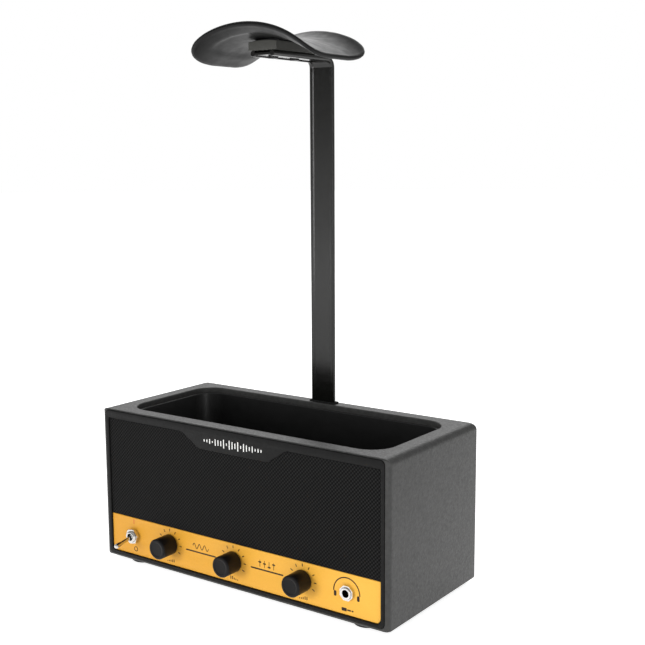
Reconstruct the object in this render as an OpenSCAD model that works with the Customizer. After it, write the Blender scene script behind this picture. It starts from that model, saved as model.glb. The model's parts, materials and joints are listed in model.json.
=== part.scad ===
// Desk headphone amplifier in the style of a small guitar-amp head, with a storage tray in its top
// and a bent channel post that carries a headband saddle.
// Frame: X to the right, Y to the back, Z up; the origin is at the middle of the footprint, on the
// plane that the rubber feet stand on.

/* [Cabinet] */
// Width of the cabinet, side to side
cab_w = 190; // [184:1:200]
// Depth of the cabinet, front to back
cab_d = 88; // [88:1:96]
// Height of the cabinet without its feet
cab_h = 85; // [84:1:95]
// Height of the rubber feet
foot_h = 3; // [2:0.5:5]
// Radius of a rubber foot
foot_r = 8; // [6:0.5:9]
// Thickness of the side and back walls
wall = 2.5; // [2:0.1:3]
// Thickness of the top deck around the tray
deck_t = 3; // [2.5:0.1:3.5]
// Radius of the long top edges at the sides and back
top_edge_r = 4; // [2:0.5:5]
// Radius of the upright edges
side_edge_r = 3; // [1:0.5:4]

/* [Tray] */
// Length of the tray opening in the deck
tray_w = 168; // [150:1:168]
// Width of the tray opening in the deck, front to back
tray_d = 68; // [60:1:68]
// Corner radius of the tray opening
tray_r = 13; // [8:1:16]
// Depth of the tray below the deck's top
tray_depth = 50; // [35:1:52]
// Wall thickness of the tray tub
tray_wall = 1.6; // [1.2:0.1:2]

/* [Front] */
// Thickness of the front frame
frame_t = 4.5; // [4:0.1:5]
// Depth of the pocket that holds the grille and the control panel
pocket_depth = 2.4; // [2.2:0.1:2.8]
// Width of the frame's side border, from the cabinet's side
border_side = 4.7; // [4:0.1:6]
// Height of the frame's top border, from the cabinet's top
border_top = 5.1; // [4:0.1:7]
// Height of the frame's bottom border, from the cabinet's bottom
border_bottom = 3; // [3:0.1:5]
// Width of the badge where it leaves the top border
badge_w_top = 70; // [50:1:90]
// Width of the badge at its lower edge
badge_w_low = 46; // [30:1:49]
// Height of the badge below the top border
badge_h = 7.7; // [4:0.1:12]
// Height of the control panel
panel_h = 21.2; // [20:0.1:24]

/* [Controls] */
// Diameter of a knob
knob_d = 11.2; // [10:0.1:14]
// Length of a knob
knob_len = 10.3; // [9:0.1:14]
// Distance between neighbouring knobs
knob_pitch = 45; // [40:0.5:46]
// Height of the knob axes above the cabinet's bottom edge
knob_z = 15; // [14.5:0.1:17]
// Diameter of a potentiometer shaft
shaft_d = 6; // [4:0.1:6]
// Sideways place of the toggle switch, left of the middle
toggle_x = 73.5; // [70:0.5:76]
// Angle of the toggle lever below level at rest
toggle_tilt = 10; // [8:1:12]
// Sideways place of the headphone jack, right of the middle
jack_x = 71; // [68:0.5:74]
// Bore of the headphone jack
jack_bore_d = 3.6; // [3.5:0.1:3.7]

/* [Stand] */
// Width of the channel bar
bar_w = 15.5; // [12:0.5:16]
// Thickness of the channel bar
bar_t = 3; // [2.6:0.1:4]
// Height of the arm's underside above the feet plane
arm_z = 276.8; // [240:0.1:300]
// Reach of the arm in front of the middle of the footprint
arm_reach = 15; // [10:1:25]
// Length of the saddle, side to side
saddle_w = 77; // [70:1:100]
// Width of the saddle, front to back
saddle_d = 61; // [50:1:64]
// Radius of the saddle's arch
saddle_arch_r = 70; // [60:1:120]
// Rise of the saddle's front and back lips
saddle_lip = 6; // [3:0.5:9]
// Thickness of the saddle
saddle_t = 1.8; // [1.5:0.1:3]

/* [Hidden] */
$fn = 64;
eps = 0.01;
cab_low = foot_h;
cab_top = foot_h + cab_h;
y_front = -cab_d / 2;
y_back = cab_d / 2;
seam = 0.1;

// Front frame outline and pocket
frame_w = cab_w - 2 * (wall + seam);
frame_low = cab_low + 1.6;
frame_top = cab_top - 0.8;
frame_corner_r = 2.5;
y_frame_back = y_front + frame_t;
y_pocket = y_front + pocket_depth;
pocket_w = cab_w - 2 * border_side;
pocket_low = cab_low + border_bottom;
pocket_top = cab_top - border_top;
pocket_r = 2.8;
panel_top = pocket_low + 0.2 + panel_h;
panel_t = 1.6;
y_panel = y_pocket - panel_t;
board_t = 1.2;
cloth_t = 0.4;

// Control axes
axis_z = cab_low + knob_z;
switch_z = cab_low + 14.2;
jack_z = cab_low + 14.8;
knob_mid_x = -0.9;
pot_hole_r = shaft_d / 2 + 0.7;
thread_r = 3;

// Tray tub
tray_y = -1;
tray_lip = 1.2;
tray_bottom = cab_top - tray_depth;
flange_t = 1.6;
flange_w = 4;
tray_screw_x = cab_w / 2 - wall - 3.6;
tray_screw_y = 14;

// Base plate and its fasteners
plate_t = 3;
plate_low = cab_low + 0.2;
plate_top = plate_low + plate_t;
boss_x = cab_w / 2 - 7.5;
boss_y_front = -32;
boss_y_back = 35;
boss_r = 3.4;
boss_top = 24;
foot_x = cab_w / 2 - 19;
foot_y = cab_d / 2 - 11.6;

// Frame fixing tabs on the cabinet walls
tab_x = cab_w / 2 - 9;
tab_z = [31, 77];
tab_gap = 4.1;

// Circuit boards
pcb_t = 1.6;
pcb_low = 12.4;
pcb_top = pcb_low + pcb_t;
post_x = 64;
post_ys = [-16, 22];
control_pcb_y = y_frame_back + 6.3;

// Rear inlets
rear_x = -54;
rear_z = 17;
rear_w = 48;
rear_h = 19;
rear_t = 1.6;
rear_screw_x = rear_w / 2 - 2.6;
line_x = rear_x + 11;
line_z = pcb_top + 3.1;
usb_x = rear_x - 9;
usb_z = pcb_top + 1.65;

// Stand
bar_front_y = 35.2;
bar_rail = 2.8;
bar_rail_r = 1.2;
bar_recess = 0.6;
bar_web = 1.4;
bar_bend_r = 3;
bar_foot_z = 12;
bar_screw_z = [19, 30];
block_w = 18.2;
block_y0 = -arm_reach;
block_y1 = 21;
block_screw_ys = [-6, 12];
block_z0 = arm_z + bar_t;
saddle_y = -2;
saddle_z = arm_z + 10.6;
saddle_rim_t = 0.9;
pad_t = 0.8;

// ---- Shared shapes ----

// Rectangle centred on the origin with its own radius at each corner, anticlockwise from low left
module rounded_rect(w, h, r) {
    polygon([[-w / 2 + r[0], -h / 2], [w / 2 - r[1], -h / 2], [w / 2, -h / 2 + r[1]],
        [w / 2, h / 2 - r[2]], [w / 2 - r[2], h / 2], [-w / 2 + r[3], h / 2],
        [-w / 2, h / 2 - r[3]], [-w / 2, -h / 2 + r[0]]]);
    translate([-w / 2 + r[0], -h / 2 + r[0]]) circle(r[0]);
    translate([w / 2 - r[1], -h / 2 + r[1]]) circle(r[1]);
    translate([w / 2 - r[2], h / 2 - r[2]]) circle(r[2]);
    translate([-w / 2 + r[3], h / 2 - r[3]]) circle(r[3]);
}

module even_rect(w, h, r) {
    rounded_rect(w, h, [r, r, r, r]);
}

// Box between two opposite corners
module block_between(a, b) {
    translate(a) cube(b - a);
}

// Stands a flat XY shape up in the XZ plane, from y0 back to y1
module upright(y0, y1) {
    translate([0, y1, 0]) rotate([90, 0, 0]) linear_extrude(y1 - y0) children();
}

// Round bar along Y from y0 to y1
module y_rod(x, z, y0, y1, r) {
    translate([x, y1, z]) rotate([90, 0, 0]) cylinder(r = r, h = y1 - y0);
}

// Pan-head screw: its shank points up, and the origin is under the head
module pan_screw(r, len, head_r, head_h) {
    translate([0, 0, -0.3]) cylinder(r = r, h = len + 0.3);
    difference() {
        translate([0, 0, -head_h]) cylinder(r = head_r, h = head_h);
        for (a = [0, 90]) rotate([0, 0, a])
            translate([-head_r * 0.6, -0.3, -head_h - eps]) cube([head_r * 1.2, 0.6, head_h * 0.5]);
    }
}

// Catmull-Rom point on segment i of a route, at t from 0 to 1
function route_at(p, i, t) =
    let (a = p[max(i - 1, 0)], b = p[i], c = p[i + 1], d = p[min(i + 2, len(p) - 1)])
    0.5 * ((2 * b) + (c - a) * t + (2 * a - 5 * b + 4 * c - d) * t * t
        + (3 * b - a - 3 * c + d) * t * t * t);
function smooth_route(p, steps) = [
    for (i = [0 : len(p) - 2]) for (k = [0 : steps - 1]) route_at(p, i, k / steps),
    p[len(p) - 1]];
function unit(v) = v / norm(v);
// Wires leave their terminals along Y and enter their connectors straight down
function tangent(p, i) =
    i == 0 ? [0, 1, 0] : i == len(p) - 1 ? [0, 0, -1] : unit(p[i + 1] - p[i - 1]);

// Round tube of radius r swept along a route
module wire(route, r) {
    sides = 8;
    pts = smooth_route(route, 4);
    n = len(pts);
    rings = [for (i = [0 : n - 1])
        let (t = tangent(pts, i), u = unit(cross(t, [1, 0, 0])), v = cross(t, u))
        for (k = [0 : sides - 1]) let (a = 360 * k / sides) pts[i] + r * (cos(a) * u + sin(a) * v)];
    faces = concat([[for (k = [0 : sides - 1]) k]],
        [for (i = [0 : n - 2]) for (k = [0 : sides - 1])
            let (a = i * sides + k, b = i * sides + (k + 1) % sides)
            for (t = [[a, a + sides, b + sides], [a, b + sides, b]]) t],
        [[for (k = [sides - 1 : -1 : 0]) (n - 1) * sides + k]]);
    polyhedron(rings, faces, convexity = 4);
}

// ---- Cabinet ----

module cabinet_outline() {
    intersection() {
        translate([0, 0, (cab_low + cab_top) / 2]) upright(y_front, y_back)
            rounded_rect(cab_w, cab_h, [1.5, 1.5, top_edge_r, top_edge_r]);
        translate([0, 0, cab_low]) linear_extrude(cab_h) even_rect(cab_w, cab_d, side_edge_r);
        translate([-cab_w / 2, 0, (cab_low + cab_top) / 2]) rotate([90, 0, 90])
            linear_extrude(cab_w) rounded_rect(cab_d, cab_h, [0.8, 1.5, top_edge_r, 0.8]);
    }
}

module frame_outline(grow) {
    translate([0, 0, (frame_low + frame_top) / 2])
        upright(y_front - 1, y_frame_back)
        even_rect(frame_w + 2 * grow, frame_top - frame_low + 2 * grow, frame_corner_r);
}

module tray_prism(z0, z1, grow) {
    translate([0, tray_y, z0]) linear_extrude(z1 - z0)
        even_rect(tray_w + 2 * grow, tray_d + 2 * grow, tray_r + grow);
}

module cabinet_shell() {
    inner_x = cab_w / 2 - wall;
    color("#2b2b2b") difference() {
        union() {
            difference() {
                cabinet_outline();
                block_between([-inner_x, y_frame_back - 1, cab_low - 1],
                    [inner_x, y_back - wall, cab_top - deck_t]);
            }
            // Columns that take the base screws
            for (s = [-1, 1]) for (y = [boss_y_front, boss_y_back]) {
                translate([s * boss_x, y, plate_top]) cylinder(r = boss_r, h = boss_top - plate_top);
                translate([s * (boss_x + cab_w / 2 - wall + 0.5) / 2, y, (plate_top + boss_top) / 2])
                    cube([cab_w / 2 - wall + 0.5 - boss_x, 3, boss_top - plate_top], center = true);
            }
            // Tabs behind the front frame
            for (s = [-1, 1]) for (z = tab_z)
                translate([s * (tab_x + inner_x - 2.5) / 2, y_frame_back + tab_gap + 1.2, z])
                    cube([inner_x + 3.5 - tab_x, 2.4, 8], center = true);
            // Bosses of the rear plate's screws
            for (s = [-1, 1])
                y_rod(rear_x + s * rear_screw_x, rear_z, y_back - 6, y_back - wall + 0.5, 2.6);
            // Pad behind the stand bar
            block_between([-bar_w / 2 - 2, bar_front_y + bar_t + 0.05, bar_foot_z],
                [bar_w / 2 + 2, y_back - wall + 0.5, cab_top - deck_t + 0.5]);
        }
        frame_outline(seam);
        tray_prism(cab_top - deck_t - 1, cab_top + 1, 0);
        block_between([-bar_w / 2 - 0.7, bar_front_y - 0.3, cab_top - deck_t - 1],
            [bar_w / 2 + 0.7, bar_front_y + bar_t + 0.7, cab_top + 1]);
        for (s = [-1, 1]) for (y = [boss_y_front, boss_y_back])
            translate([s * boss_x, y, plate_top - 1]) cylinder(r = 1.25, h = 13);
        for (s = [-1, 1]) for (z = tab_z)
            y_rod(s * tab_x, z, y_frame_back + tab_gap - 1, y_frame_back + tab_gap + 4, 1.3);
        for (s = [-1, 1]) for (t = [-1, 1])
            translate([s * tray_screw_x, t * tray_screw_y, cab_top - deck_t - 1])
                cylinder(r = 1.1, h = 3.2);
        for (z = bar_screw_z) y_rod(0, z, bar_front_y, y_back - wall + 1.2, 1.65);
        // Holes of the two inlets, and the recess of the rear plate
        y_rod(line_x, line_z, y_back - wall - 1, y_back + 1, thread_r + 0.1);
        translate([usb_x, 0, usb_z]) upright(y_back - wall - 1, y_back + 1)
            even_rect(9.4, 3.7, 1.8);
        translate([rear_x, 0, rear_z]) upright(y_back - rear_t, y_back + 1)
            even_rect(rear_w + 0.3, rear_h + 0.3, 2.15);
        for (s = [-1, 1])
            y_rod(rear_x + s * rear_screw_x, rear_z, y_back - 7, y_back, 1.05);
    }
}

// Outline of the badge that hangs from the frame's top border
module badge_shape() {
    polygon([[-badge_w_top / 2 - 3, pocket_top + 3], [-badge_w_top / 2, pocket_top],
        [-badge_w_low / 2, pocket_top - badge_h], [badge_w_low / 2, pocket_top - badge_h],
        [badge_w_top / 2, pocket_top], [badge_w_top / 2 + 3, pocket_top + 3]]);
}

module pocket_shape() {
    difference() {
        translate([0, (pocket_low + pocket_top) / 2])
            rounded_rect(pocket_w, pocket_top - pocket_low, [pocket_r, pocket_r, 0.6, 0.6]);
        badge_shape();
    }
}

module front_frame() {
    color("#232323") difference() {
        union() {
            intersection() {
                frame_outline(0);
                translate([0, y_frame_back - frame_t / 2, (cab_low + cab_top) / 2])
                    cube([cab_w, frame_t, cab_h], center = true);
            }
            for (s = [-1, 1]) for (z = tab_z)
                y_rod(s * tab_x, z, y_frame_back - eps, y_frame_back + tab_gap - 0.1, 2.8);
        }
        upright(y_front - 1, y_pocket) pocket_shape();
        for (i = [-1 : 1])
            y_rod(knob_mid_x + i * knob_pitch, axis_z, y_front, y_frame_back + 1, pot_hole_r);
        y_rod(-toggle_x, switch_z, y_front, y_frame_back + 1, thread_r + 0.1);
        y_rod(jack_x, jack_z, y_front, y_frame_back + 1, thread_r + 0.1);
        for (s = [-1, 1]) for (z = tab_z)
            y_rod(s * tab_x, z, y_frame_back - 1, y_frame_back + tab_gap + 1, 1.1);
    }
}

module frame_screws() {
    color("#8a8a8a") for (s = [-1, 1]) for (z = tab_z)
        translate([s * tab_x, y_frame_back + tab_gap + 2.4, z]) rotate([90, 0, 0])
            pan_screw(1.08, 6.4, 2.2, 1.4);
}

module grille_outline(shrink) {
    difference() {
        offset_w = pocket_w - 2 * shrink;
        z0 = panel_top + 0.2;
        translate([0, (z0 + pocket_top - shrink) / 2])
            rounded_rect(offset_w, pocket_top - shrink - z0, [0.3, 0.3, 0.6, 0.6]);
        translate([0, -shrink]) badge_shape();
    }
}

module grille_board() {
    color("#1a1a1a") upright(y_pocket - board_t, y_pocket) grille_outline(0.3);
}

module grille_cloth() {
    color("#202020") upright(y_pocket - board_t - cloth_t, y_pocket - board_t) grille_outline(0.3);
}

module control_panel() {
    color("#e0a63c") difference() {
        translate([0, 0, pocket_low + 0.2 + panel_h / 2]) upright(y_panel, y_pocket)
            rounded_rect(pocket_w - 0.5, panel_h, [pocket_r, pocket_r, 0.4, 0.4]);
        for (i = [-1 : 1])
            y_rod(knob_mid_x + i * knob_pitch, axis_z, y_panel - 1, y_pocket + 1, pot_hole_r);
        y_rod(-toggle_x, switch_z, y_panel - 1, y_pocket + 1, thread_r + 0.1);
        y_rod(jack_x, jack_z, y_panel - 1, y_pocket + 1, thread_r + 0.1);
    }
}

module tray_tub() {
    deck_low = cab_top - deck_t;
    color("#161616") difference() {
        union() {
            tray_prism(tray_bottom - tray_wall, deck_low, tray_wall - tray_lip);
            tray_prism(deck_low - flange_t, deck_low, flange_w - tray_lip);
            for (s = [-1, 1]) for (t = [-1, 1])
                translate([s * (tray_screw_x - 1), t * tray_screw_y, deck_low - flange_t / 2])
                    cube([6, 6, flange_t], center = true);
        }
        tray_prism(tray_bottom, deck_low + 1, -tray_lip);
        // Notch that lets the stand bar pass
        block_between([-bar_w / 2 - 2.5, tray_y + tray_d / 2 + 0.6, deck_low - flange_t - 1],
            [bar_w / 2 + 2.5, y_back, deck_low + 1]);
        for (s = [-1, 1]) for (t = [-1, 1])
            translate([s * tray_screw_x, t * tray_screw_y, deck_low - flange_t - 1])
                cylinder(r = 1.2, h = flange_t + 2);
    }
}

module tray_screws() {
    color("#8a8a8a") for (s = [-1, 1]) for (t = [-1, 1])
        translate([s * tray_screw_x, t * tray_screw_y, cab_top - deck_t - flange_t])
            pan_screw(1.08, flange_t + 2, 2.1, 1.2);
}

module base_plate() {
    plate_w = cab_w - 2 * wall - 0.6;
    y0 = y_frame_back + 0.3;
    y1 = y_back - wall - 0.3;
    vent_pitch = 7;
    color("#1d1d1d") difference() {
        union() {
            block_between([-plate_w / 2, y0, plate_low], [plate_w / 2, y1, plate_top]);
            for (s = [-1, 1]) for (y = post_ys)
                translate([s * post_x, y, plate_top - eps]) cylinder(r = 3, h = pcb_low - plate_top);
        }
        for (s = [-1, 1]) for (y = [boss_y_front, boss_y_back])
            translate([s * boss_x, y, plate_low - 1]) {
                cylinder(r = 1.6, h = plate_t + 2);
                cylinder(r = 3.1, h = 2.9);
            }
        for (s = [-1, 1]) for (t = [-1, 1])
            translate([s * foot_x, t * foot_y, plate_low - 1]) cylinder(r = 2.05, h = plate_t);
        for (s = [-1, 1]) for (y = post_ys)
            translate([s * post_x, y, plate_top + 0.4]) cylinder(r = 1.1, h = pcb_low - plate_top);
        for (i = [-4 : 4])
            translate([i * vent_pitch, 6, plate_low - 1]) linear_extrude(plate_t + 2)
                even_rect(2.2, 26, 1.05);
    }
}

module base_screws() {
    color("#8a8a8a") for (s = [-1, 1]) for (y = [boss_y_front, boss_y_back])
        translate([s * boss_x, y, plate_low + 1.9]) pan_screw(1.24, 10, 2.8, 1.7);
}

module rubber_feet() {
    color("#181818") for (s = [-1, 1]) for (t = [-1, 1])
        translate([s * foot_x, t * foot_y, 0]) {
            cylinder(r1 = foot_r - 0.8, r2 = foot_r, h = 0.8);
            translate([0, 0, 0.8]) cylinder(r = foot_r, h = plate_low - 0.8);
            translate([0, 0, plate_low - eps]) cylinder(r = 2, h = plate_t - 1.2);
        }
}

// ---- Stand ----

// Cross-section of the channel bar: the web faces -Y and the two rails fold back from it
module bar_section() {
    for (s = [-1, 1]) translate([s * (bar_w / 2 - bar_rail / 2), bar_t / 2])
        even_rect(bar_rail, bar_t, bar_rail_r);
    translate([-bar_w / 2 + bar_rail / 2, bar_recess]) square([bar_w - bar_rail, bar_web]);
}

module stand_bar() {
    bend_z = arm_z - bar_bend_r;
    color("#141414") difference() {
        union() {
            translate([0, bar_front_y, bar_foot_z]) linear_extrude(bend_z - bar_foot_z) bar_section();
            // Bend about an axis along X, in front of and below the corner
            translate([0, bar_front_y - bar_bend_r, bend_z]) rotate([0, -90, 0])
                rotate_extrude(angle = 90) translate([bar_bend_r, 0]) rotate(90) mirror([0, 1])
                bar_section();
            translate([0, bar_front_y - bar_bend_r, arm_z]) rotate([90, 0, 0])
                linear_extrude(bar_front_y - bar_bend_r + arm_reach) bar_section();
        }
        for (z = bar_screw_z) y_rod(0, z, bar_front_y - 1, bar_front_y + bar_t + 1, 2.1);
        for (y = block_screw_ys) translate([0, y, arm_z - 1]) cylinder(r = 1.7, h = bar_t + 2);
    }
}

module bar_screws() {
    color("#8a8a8a") for (z = bar_screw_z)
        translate([0, bar_front_y + bar_recess, z]) rotate([-90, 0, 0])
            pan_screw(1.6, y_back - wall - bar_front_y - bar_recess + 1, 3.4, 1.8);
}

module post_grommet() {
    rim = 1.2;
    color("#101010") difference() {
        union() {
            block_between([-bar_w / 2 - rim, bar_front_y - 0.6, cab_top],
                [bar_w / 2 + rim, bar_front_y + bar_t + rim, cab_top + 0.9]);
            block_between([-bar_w / 2 - 0.6, bar_front_y - 0.25, cab_top - deck_t],
                [bar_w / 2 + 0.6, bar_front_y + bar_t + 0.6, cab_top + eps]);
        }
        block_between([-bar_w / 2 - 0.02, bar_front_y - 0.02, cab_top - deck_t - 1],
            [bar_w / 2 + 0.02, bar_front_y + bar_t + 0.02, cab_top + 2]);
    }
}

// Outline in XZ of a slab that lies under the saddle's arch, between two depths below its top line
module arch_slab(w, depth0, depth1) {
    zc = saddle_z - saddle_arch_r;
    intersection() {
        translate([0, zc]) difference() {
            circle(saddle_arch_r - depth0, $fn = 200);
            circle(saddle_arch_r - depth1, $fn = 200);
        }
        translate([-w / 2, saddle_z - 20]) square([w, 30]);
    }
}

module saddle_block() {
    top = saddle_t + pad_t;
    color("#262626") difference() {
        upright(block_y0, block_y1) intersection() {
            translate([0, saddle_z - saddle_arch_r]) circle(saddle_arch_r - top, $fn = 200);
            translate([-block_w / 2, block_z0]) square([block_w, 12]);
        }
        for (y = block_screw_ys) translate([0, y, block_z0 - 1]) cylinder(r = 1.25, h = 4);
    }
}

module block_screws() {
    color("#8a8a8a") for (y = block_screw_ys)
        translate([0, y, arm_z + bar_recess]) pan_screw(1.24, bar_t - bar_recess + 2.4, 2.6, 1.2);
}

module saddle_pad() {
    color("#303030") upright(saddle_y - 9, saddle_y + 9) arch_slab(15, saddle_t, saddle_t + pad_t);
}

// Height of the saddle's top face over a point of its plan
function lip_rise(y) = saddle_lip * pow(abs(y - saddle_y) / (saddle_d / 2), 3);
function saddle_top(x, y) =
    saddle_z - saddle_arch_r + sqrt(saddle_arch_r * saddle_arch_r - x * x)
    + max(0, lip_rise(y) - lip_rise(saddle_y + 9));
// Point of a superellipse plan for square coordinates u, v from -1 to 1
function plan_point(u, v) =
    let (m = max(abs(u), abs(v)), d = pow(pow(abs(u), 7) + pow(abs(v), 7), 1 / 7),
        k = d < 0.001 ? 1 : m / d)
    [saddle_w / 2 * u * k, saddle_y + saddle_d / 2 * v * k];
// Thickness there, with a stiffening band along the rim
function saddle_depth(u, v) =
    saddle_t - 0.02 + saddle_rim_t * min(1, max(0, (max(abs(u), abs(v)) - 0.72) / 0.08));

module saddle() {
    nu = 28;
    nv = 20;
    row = nv + 1;
    half = (nu + 1) * row;
    grid = [for (i = [0 : nu]) for (j = [0 : nv]) [2 * i / nu - 1, 2 * j / nv - 1]];
    top = [for (g = grid) let (p = plan_point(g[0], g[1])) [p[0], p[1], saddle_top(p[0], p[1])]];
    low = [for (k = [0 : half - 1]) top[k] - [0, 0, saddle_depth(grid[k][0], grid[k][1])]];
    rim = concat([for (i = [0 : nu - 1]) i * row], [for (j = [0 : nv - 1]) nu * row + j],
        [for (i = [nu : -1 : 1]) i * row + nv], [for (j = [nv : -1 : 1]) j]);
    faces = concat(
        [for (i = [0 : nu - 1]) for (j = [0 : nv - 1])
            for (t = [[0, row, row + 1], [0, row + 1, 1]])
                [for (k = [2 : -1 : 0]) i * row + j + t[k]]],
        [for (i = [0 : nu - 1]) for (j = [0 : nv - 1])
            for (t = [[0, row, row + 1], [0, row + 1, 1]])
                [for (k = [0 : 2]) half + i * row + j + t[k]]],
        [for (i = [0 : len(rim) - 1]) let (a = rim[i], b = rim[(i + 1) % len(rim)])
            for (t = [[a, b, half + b], [a, half + b, half + a]]) t]);
    color("#1c1c1c") polyhedron(concat(top, low), faces, convexity = 4);
}

// ---- Toggle switch ----

pivot_y = y_panel - 1.6;
mouth_y = y_panel - 3.6;
mouth_r = 1.85;
throat_r = 2.45;
nut_turn = 10;
rocker_y = y_frame_back + 4.3;
rocker_tilt = 8;
pin_r = 0.45;
pin_slack = 0.05;

// Pin along X through the switch's middle plane
module cross_pin(y, r, len) {
    translate([-toggle_x, y, switch_z]) rotate([0, 90, 0]) cylinder(r = r, h = len, center = true);
}

module toggle_bushing() {
    color("#c8c8cc") difference() {
        union() {
            y_rod(-toggle_x, switch_z, mouth_y, y_frame_back + eps, thread_r);
            translate([-toggle_x, y_frame_back + 0.6, switch_z]) cube([8, 1.2, 13], center = true);
        }
        y_rod(-toggle_x, switch_z, mouth_y - 1, pivot_y + 1.6, mouth_r);
        y_rod(-toggle_x, switch_z, pivot_y + 1.5, y_frame_back - 0.1, throat_r);
        y_rod(-toggle_x, switch_z, y_frame_back - 0.2, y_frame_back + 2, 2.9);
        // Seats of the lever's pin, and the slots that lead to them from behind
        cross_pin(pivot_y, pin_r + pin_slack, 2 * throat_r - 0.1);
        block_between([-toggle_x - throat_r + 0.05, pivot_y, switch_z - pin_r - pin_slack],
            [-toggle_x + throat_r - 0.05, pivot_y + 1.6, switch_z + pin_r + pin_slack]);
    }
}

module toggle_body() {
    color("#23394a") difference() {
        block_between([-toggle_x - 4, y_frame_back + 1.2, switch_z - 6.5],
            [-toggle_x + 4, y_frame_back + 9.5, switch_z + 6.5]);
        block_between([-toggle_x - 3, y_frame_back + 1, switch_z - 5.6],
            [-toggle_x + 3, y_frame_back + 8.5, switch_z + 5.6]);
        // Blind holes in the side walls for the rocker's pin
        cross_pin(rocker_y, pin_r + pin_slack, 7);
        for (k = [-1 : 1]) translate([-toggle_x, y_frame_back + 9, switch_z + k * 4.2])
            cube([2.1, 3, 0.7], center = true);
    }
}

module toggle_washer() {
    color("#b8b8b8") difference() {
        y_rod(-toggle_x, switch_z, y_panel - 0.4, y_panel, 3.85);
        y_rod(-toggle_x, switch_z, y_panel - 1, y_panel + 1, thread_r + 0.05);
    }
}

module toggle_nut() {
    across_flats = 7.8;
    color("#d8d8d8") difference() {
        translate([-toggle_x, y_panel - 0.4, switch_z]) rotate([90, 0, 0]) rotate([0, 0, nut_turn])
            cylinder(r = across_flats / 2 / cos(30), h = 2, $fn = 6);
        y_rod(-toggle_x, switch_z, y_panel - 4, y_panel + 1, thread_r + 0.02);
    }
}

module toggle_terminals() {
    color("#c9b48a") for (k = [-1 : 1])
        translate([-toggle_x, y_frame_back + 13.5, switch_z + k * 4.2 - 0.3])
            difference() {
                reach = k == 0 ? 8.6 : 8;
                translate([-1, -reach, 0]) cube([2, reach, 0.6]);
                translate([0, -1.2, -1]) cylinder(r = 0.5, h = 3);
            }
}

module toggle_lever() {
    neck = 8;
    bat = 4.4;
    tail = 7.8;
    color("#d8d8d8") {
        cross_pin(pivot_y, pin_r, 2 * throat_r - 0.3);
        translate([-toggle_x, pivot_y, switch_z]) rotate([toggle_tilt, 0, 0]) {
            // Turned so that the ball's seam is clear of the pin and the neck
            rotate([0, 0, 45]) sphere(r = mouth_r - 0.05);
            rotate([90, 0, 0]) cylinder(r = 1, h = neck);
            translate([0, -neck + eps, 0]) rotate([90, 0, 0]) cylinder(r1 = 1, r2 = 1.3, h = bat);
            translate([0, -neck - bat + 2 * eps, 0]) rotate([90, 0, 0])
                cylinder(r1 = 1.3, r2 = 0.9, h = 1);
            rotate([-90, 0, 0]) cylinder(r = 0.7, h = tail);
            translate([0, tail, 0]) sphere(r = 1.1);
        }
    }
}

module switch_rocker() {
    color("#c9b48a") {
        cross_pin(rocker_y, pin_r, 6.8);
        translate([-toggle_x, rocker_y, switch_z]) rotate([-rocker_tilt, 0, 0])
            cube([3, 0.5, 8.4], center = true);
    }
}

// ---- Headphone jack ----

module jack_barrel() {
    mouth = y_panel - 2.2;
    color("#d8d8d8") difference() {
        union() {
            y_rod(jack_x, jack_z, mouth, y_frame_back + eps, thread_r);
            y_rod(jack_x, jack_z, y_frame_back, y_frame_back + 0.8, 4);
            y_rod(jack_x, jack_z, y_frame_back + 0.7, y_frame_back + 3, 2.6);
        }
        y_rod(jack_x, jack_z, mouth - 1, y_frame_back + 4, jack_bore_d / 2);
    }
}

module jack_body() {
    color("#151515") difference() {
        block_between([jack_x - 4.5, y_frame_back + 0.8, jack_z - 4.5],
            [jack_x + 4.5, y_frame_back + 13, jack_z + 4.5]);
        y_rod(jack_x, jack_z, y_frame_back, y_frame_back + 3.05, 2.65);
        y_rod(jack_x, jack_z, y_frame_back + 3, y_frame_back + 12, 3.7);
        for (k = [-1 : 1]) translate([jack_x + k * 1.9, y_frame_back + 12.4, jack_z + 2.4])
            cube([1.2, 2.4, 0.5], center = true);
    }
}

module jack_nut() {
    across_flats = 7.4;
    sides = 8;
    color("#e2e2e2") difference() {
        translate([jack_x, y_panel, jack_z]) rotate([90, 0, 0]) rotate([0, 0, 180 / sides])
            cylinder(r = across_flats / 2 / cos(180 / sides), h = 1.5, $fn = sides);
        y_rod(jack_x, jack_z, y_panel - 4, y_panel + 1, thread_r + 0.02);
    }
}

module jack_contacts() {
    color("#c9b48a") for (k = [-1 : 1])
        translate([jack_x + k * 1.9 - 0.5, y_frame_back + 5 + abs(k) * 2, jack_z + 2.25])
            cube([1, 11 - abs(k) * 2, 0.3]);
}

// ---- Potentiometers and knobs; s counts back from the frame's rear face ----

module pot_housing(x) {
    color("#2d5a3a") difference() {
        block_between([x - 4.8, y_frame_back + 1, axis_z - 5.5],
            [x + 4.8, y_frame_back + 6, axis_z + 5.5]);
        y_rod(x, axis_z, y_frame_back, y_frame_back + 4.9, 4.2);
        for (k = [-1 : 1]) y_rod(x + k * 2.5, axis_z - 2.6, y_frame_back + 4, y_frame_back + 7, 0.45);
    }
}

module pot_bushing(x) {
    color("#bfae6a") difference() {
        union() {
            translate([x, y_frame_back + 0.5, axis_z]) cube([9.6, 1, 11], center = true);
            y_rod(x, axis_z, y_panel + 0.2, y_frame_back + eps, shaft_d / 2 + 0.5);
        }
        y_rod(x, axis_z, y_panel - 1, y_frame_back + 2, shaft_d / 2 + 0.05);
    }
}

module pot_track(x) {
    color("#3a2d24") {
        difference() {
            y_rod(x, axis_z, y_frame_back + 3.3, y_frame_back + 4.1, 4.1);
            y_rod(x, axis_z, y_frame_back + 3, y_frame_back + 5, 1.2);
        }
        for (k = [-1 : 1]) y_rod(x + k * 2.5, axis_z - 2.6, y_frame_back + 4, y_frame_back + 9, 0.35);
    }
}

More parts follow.
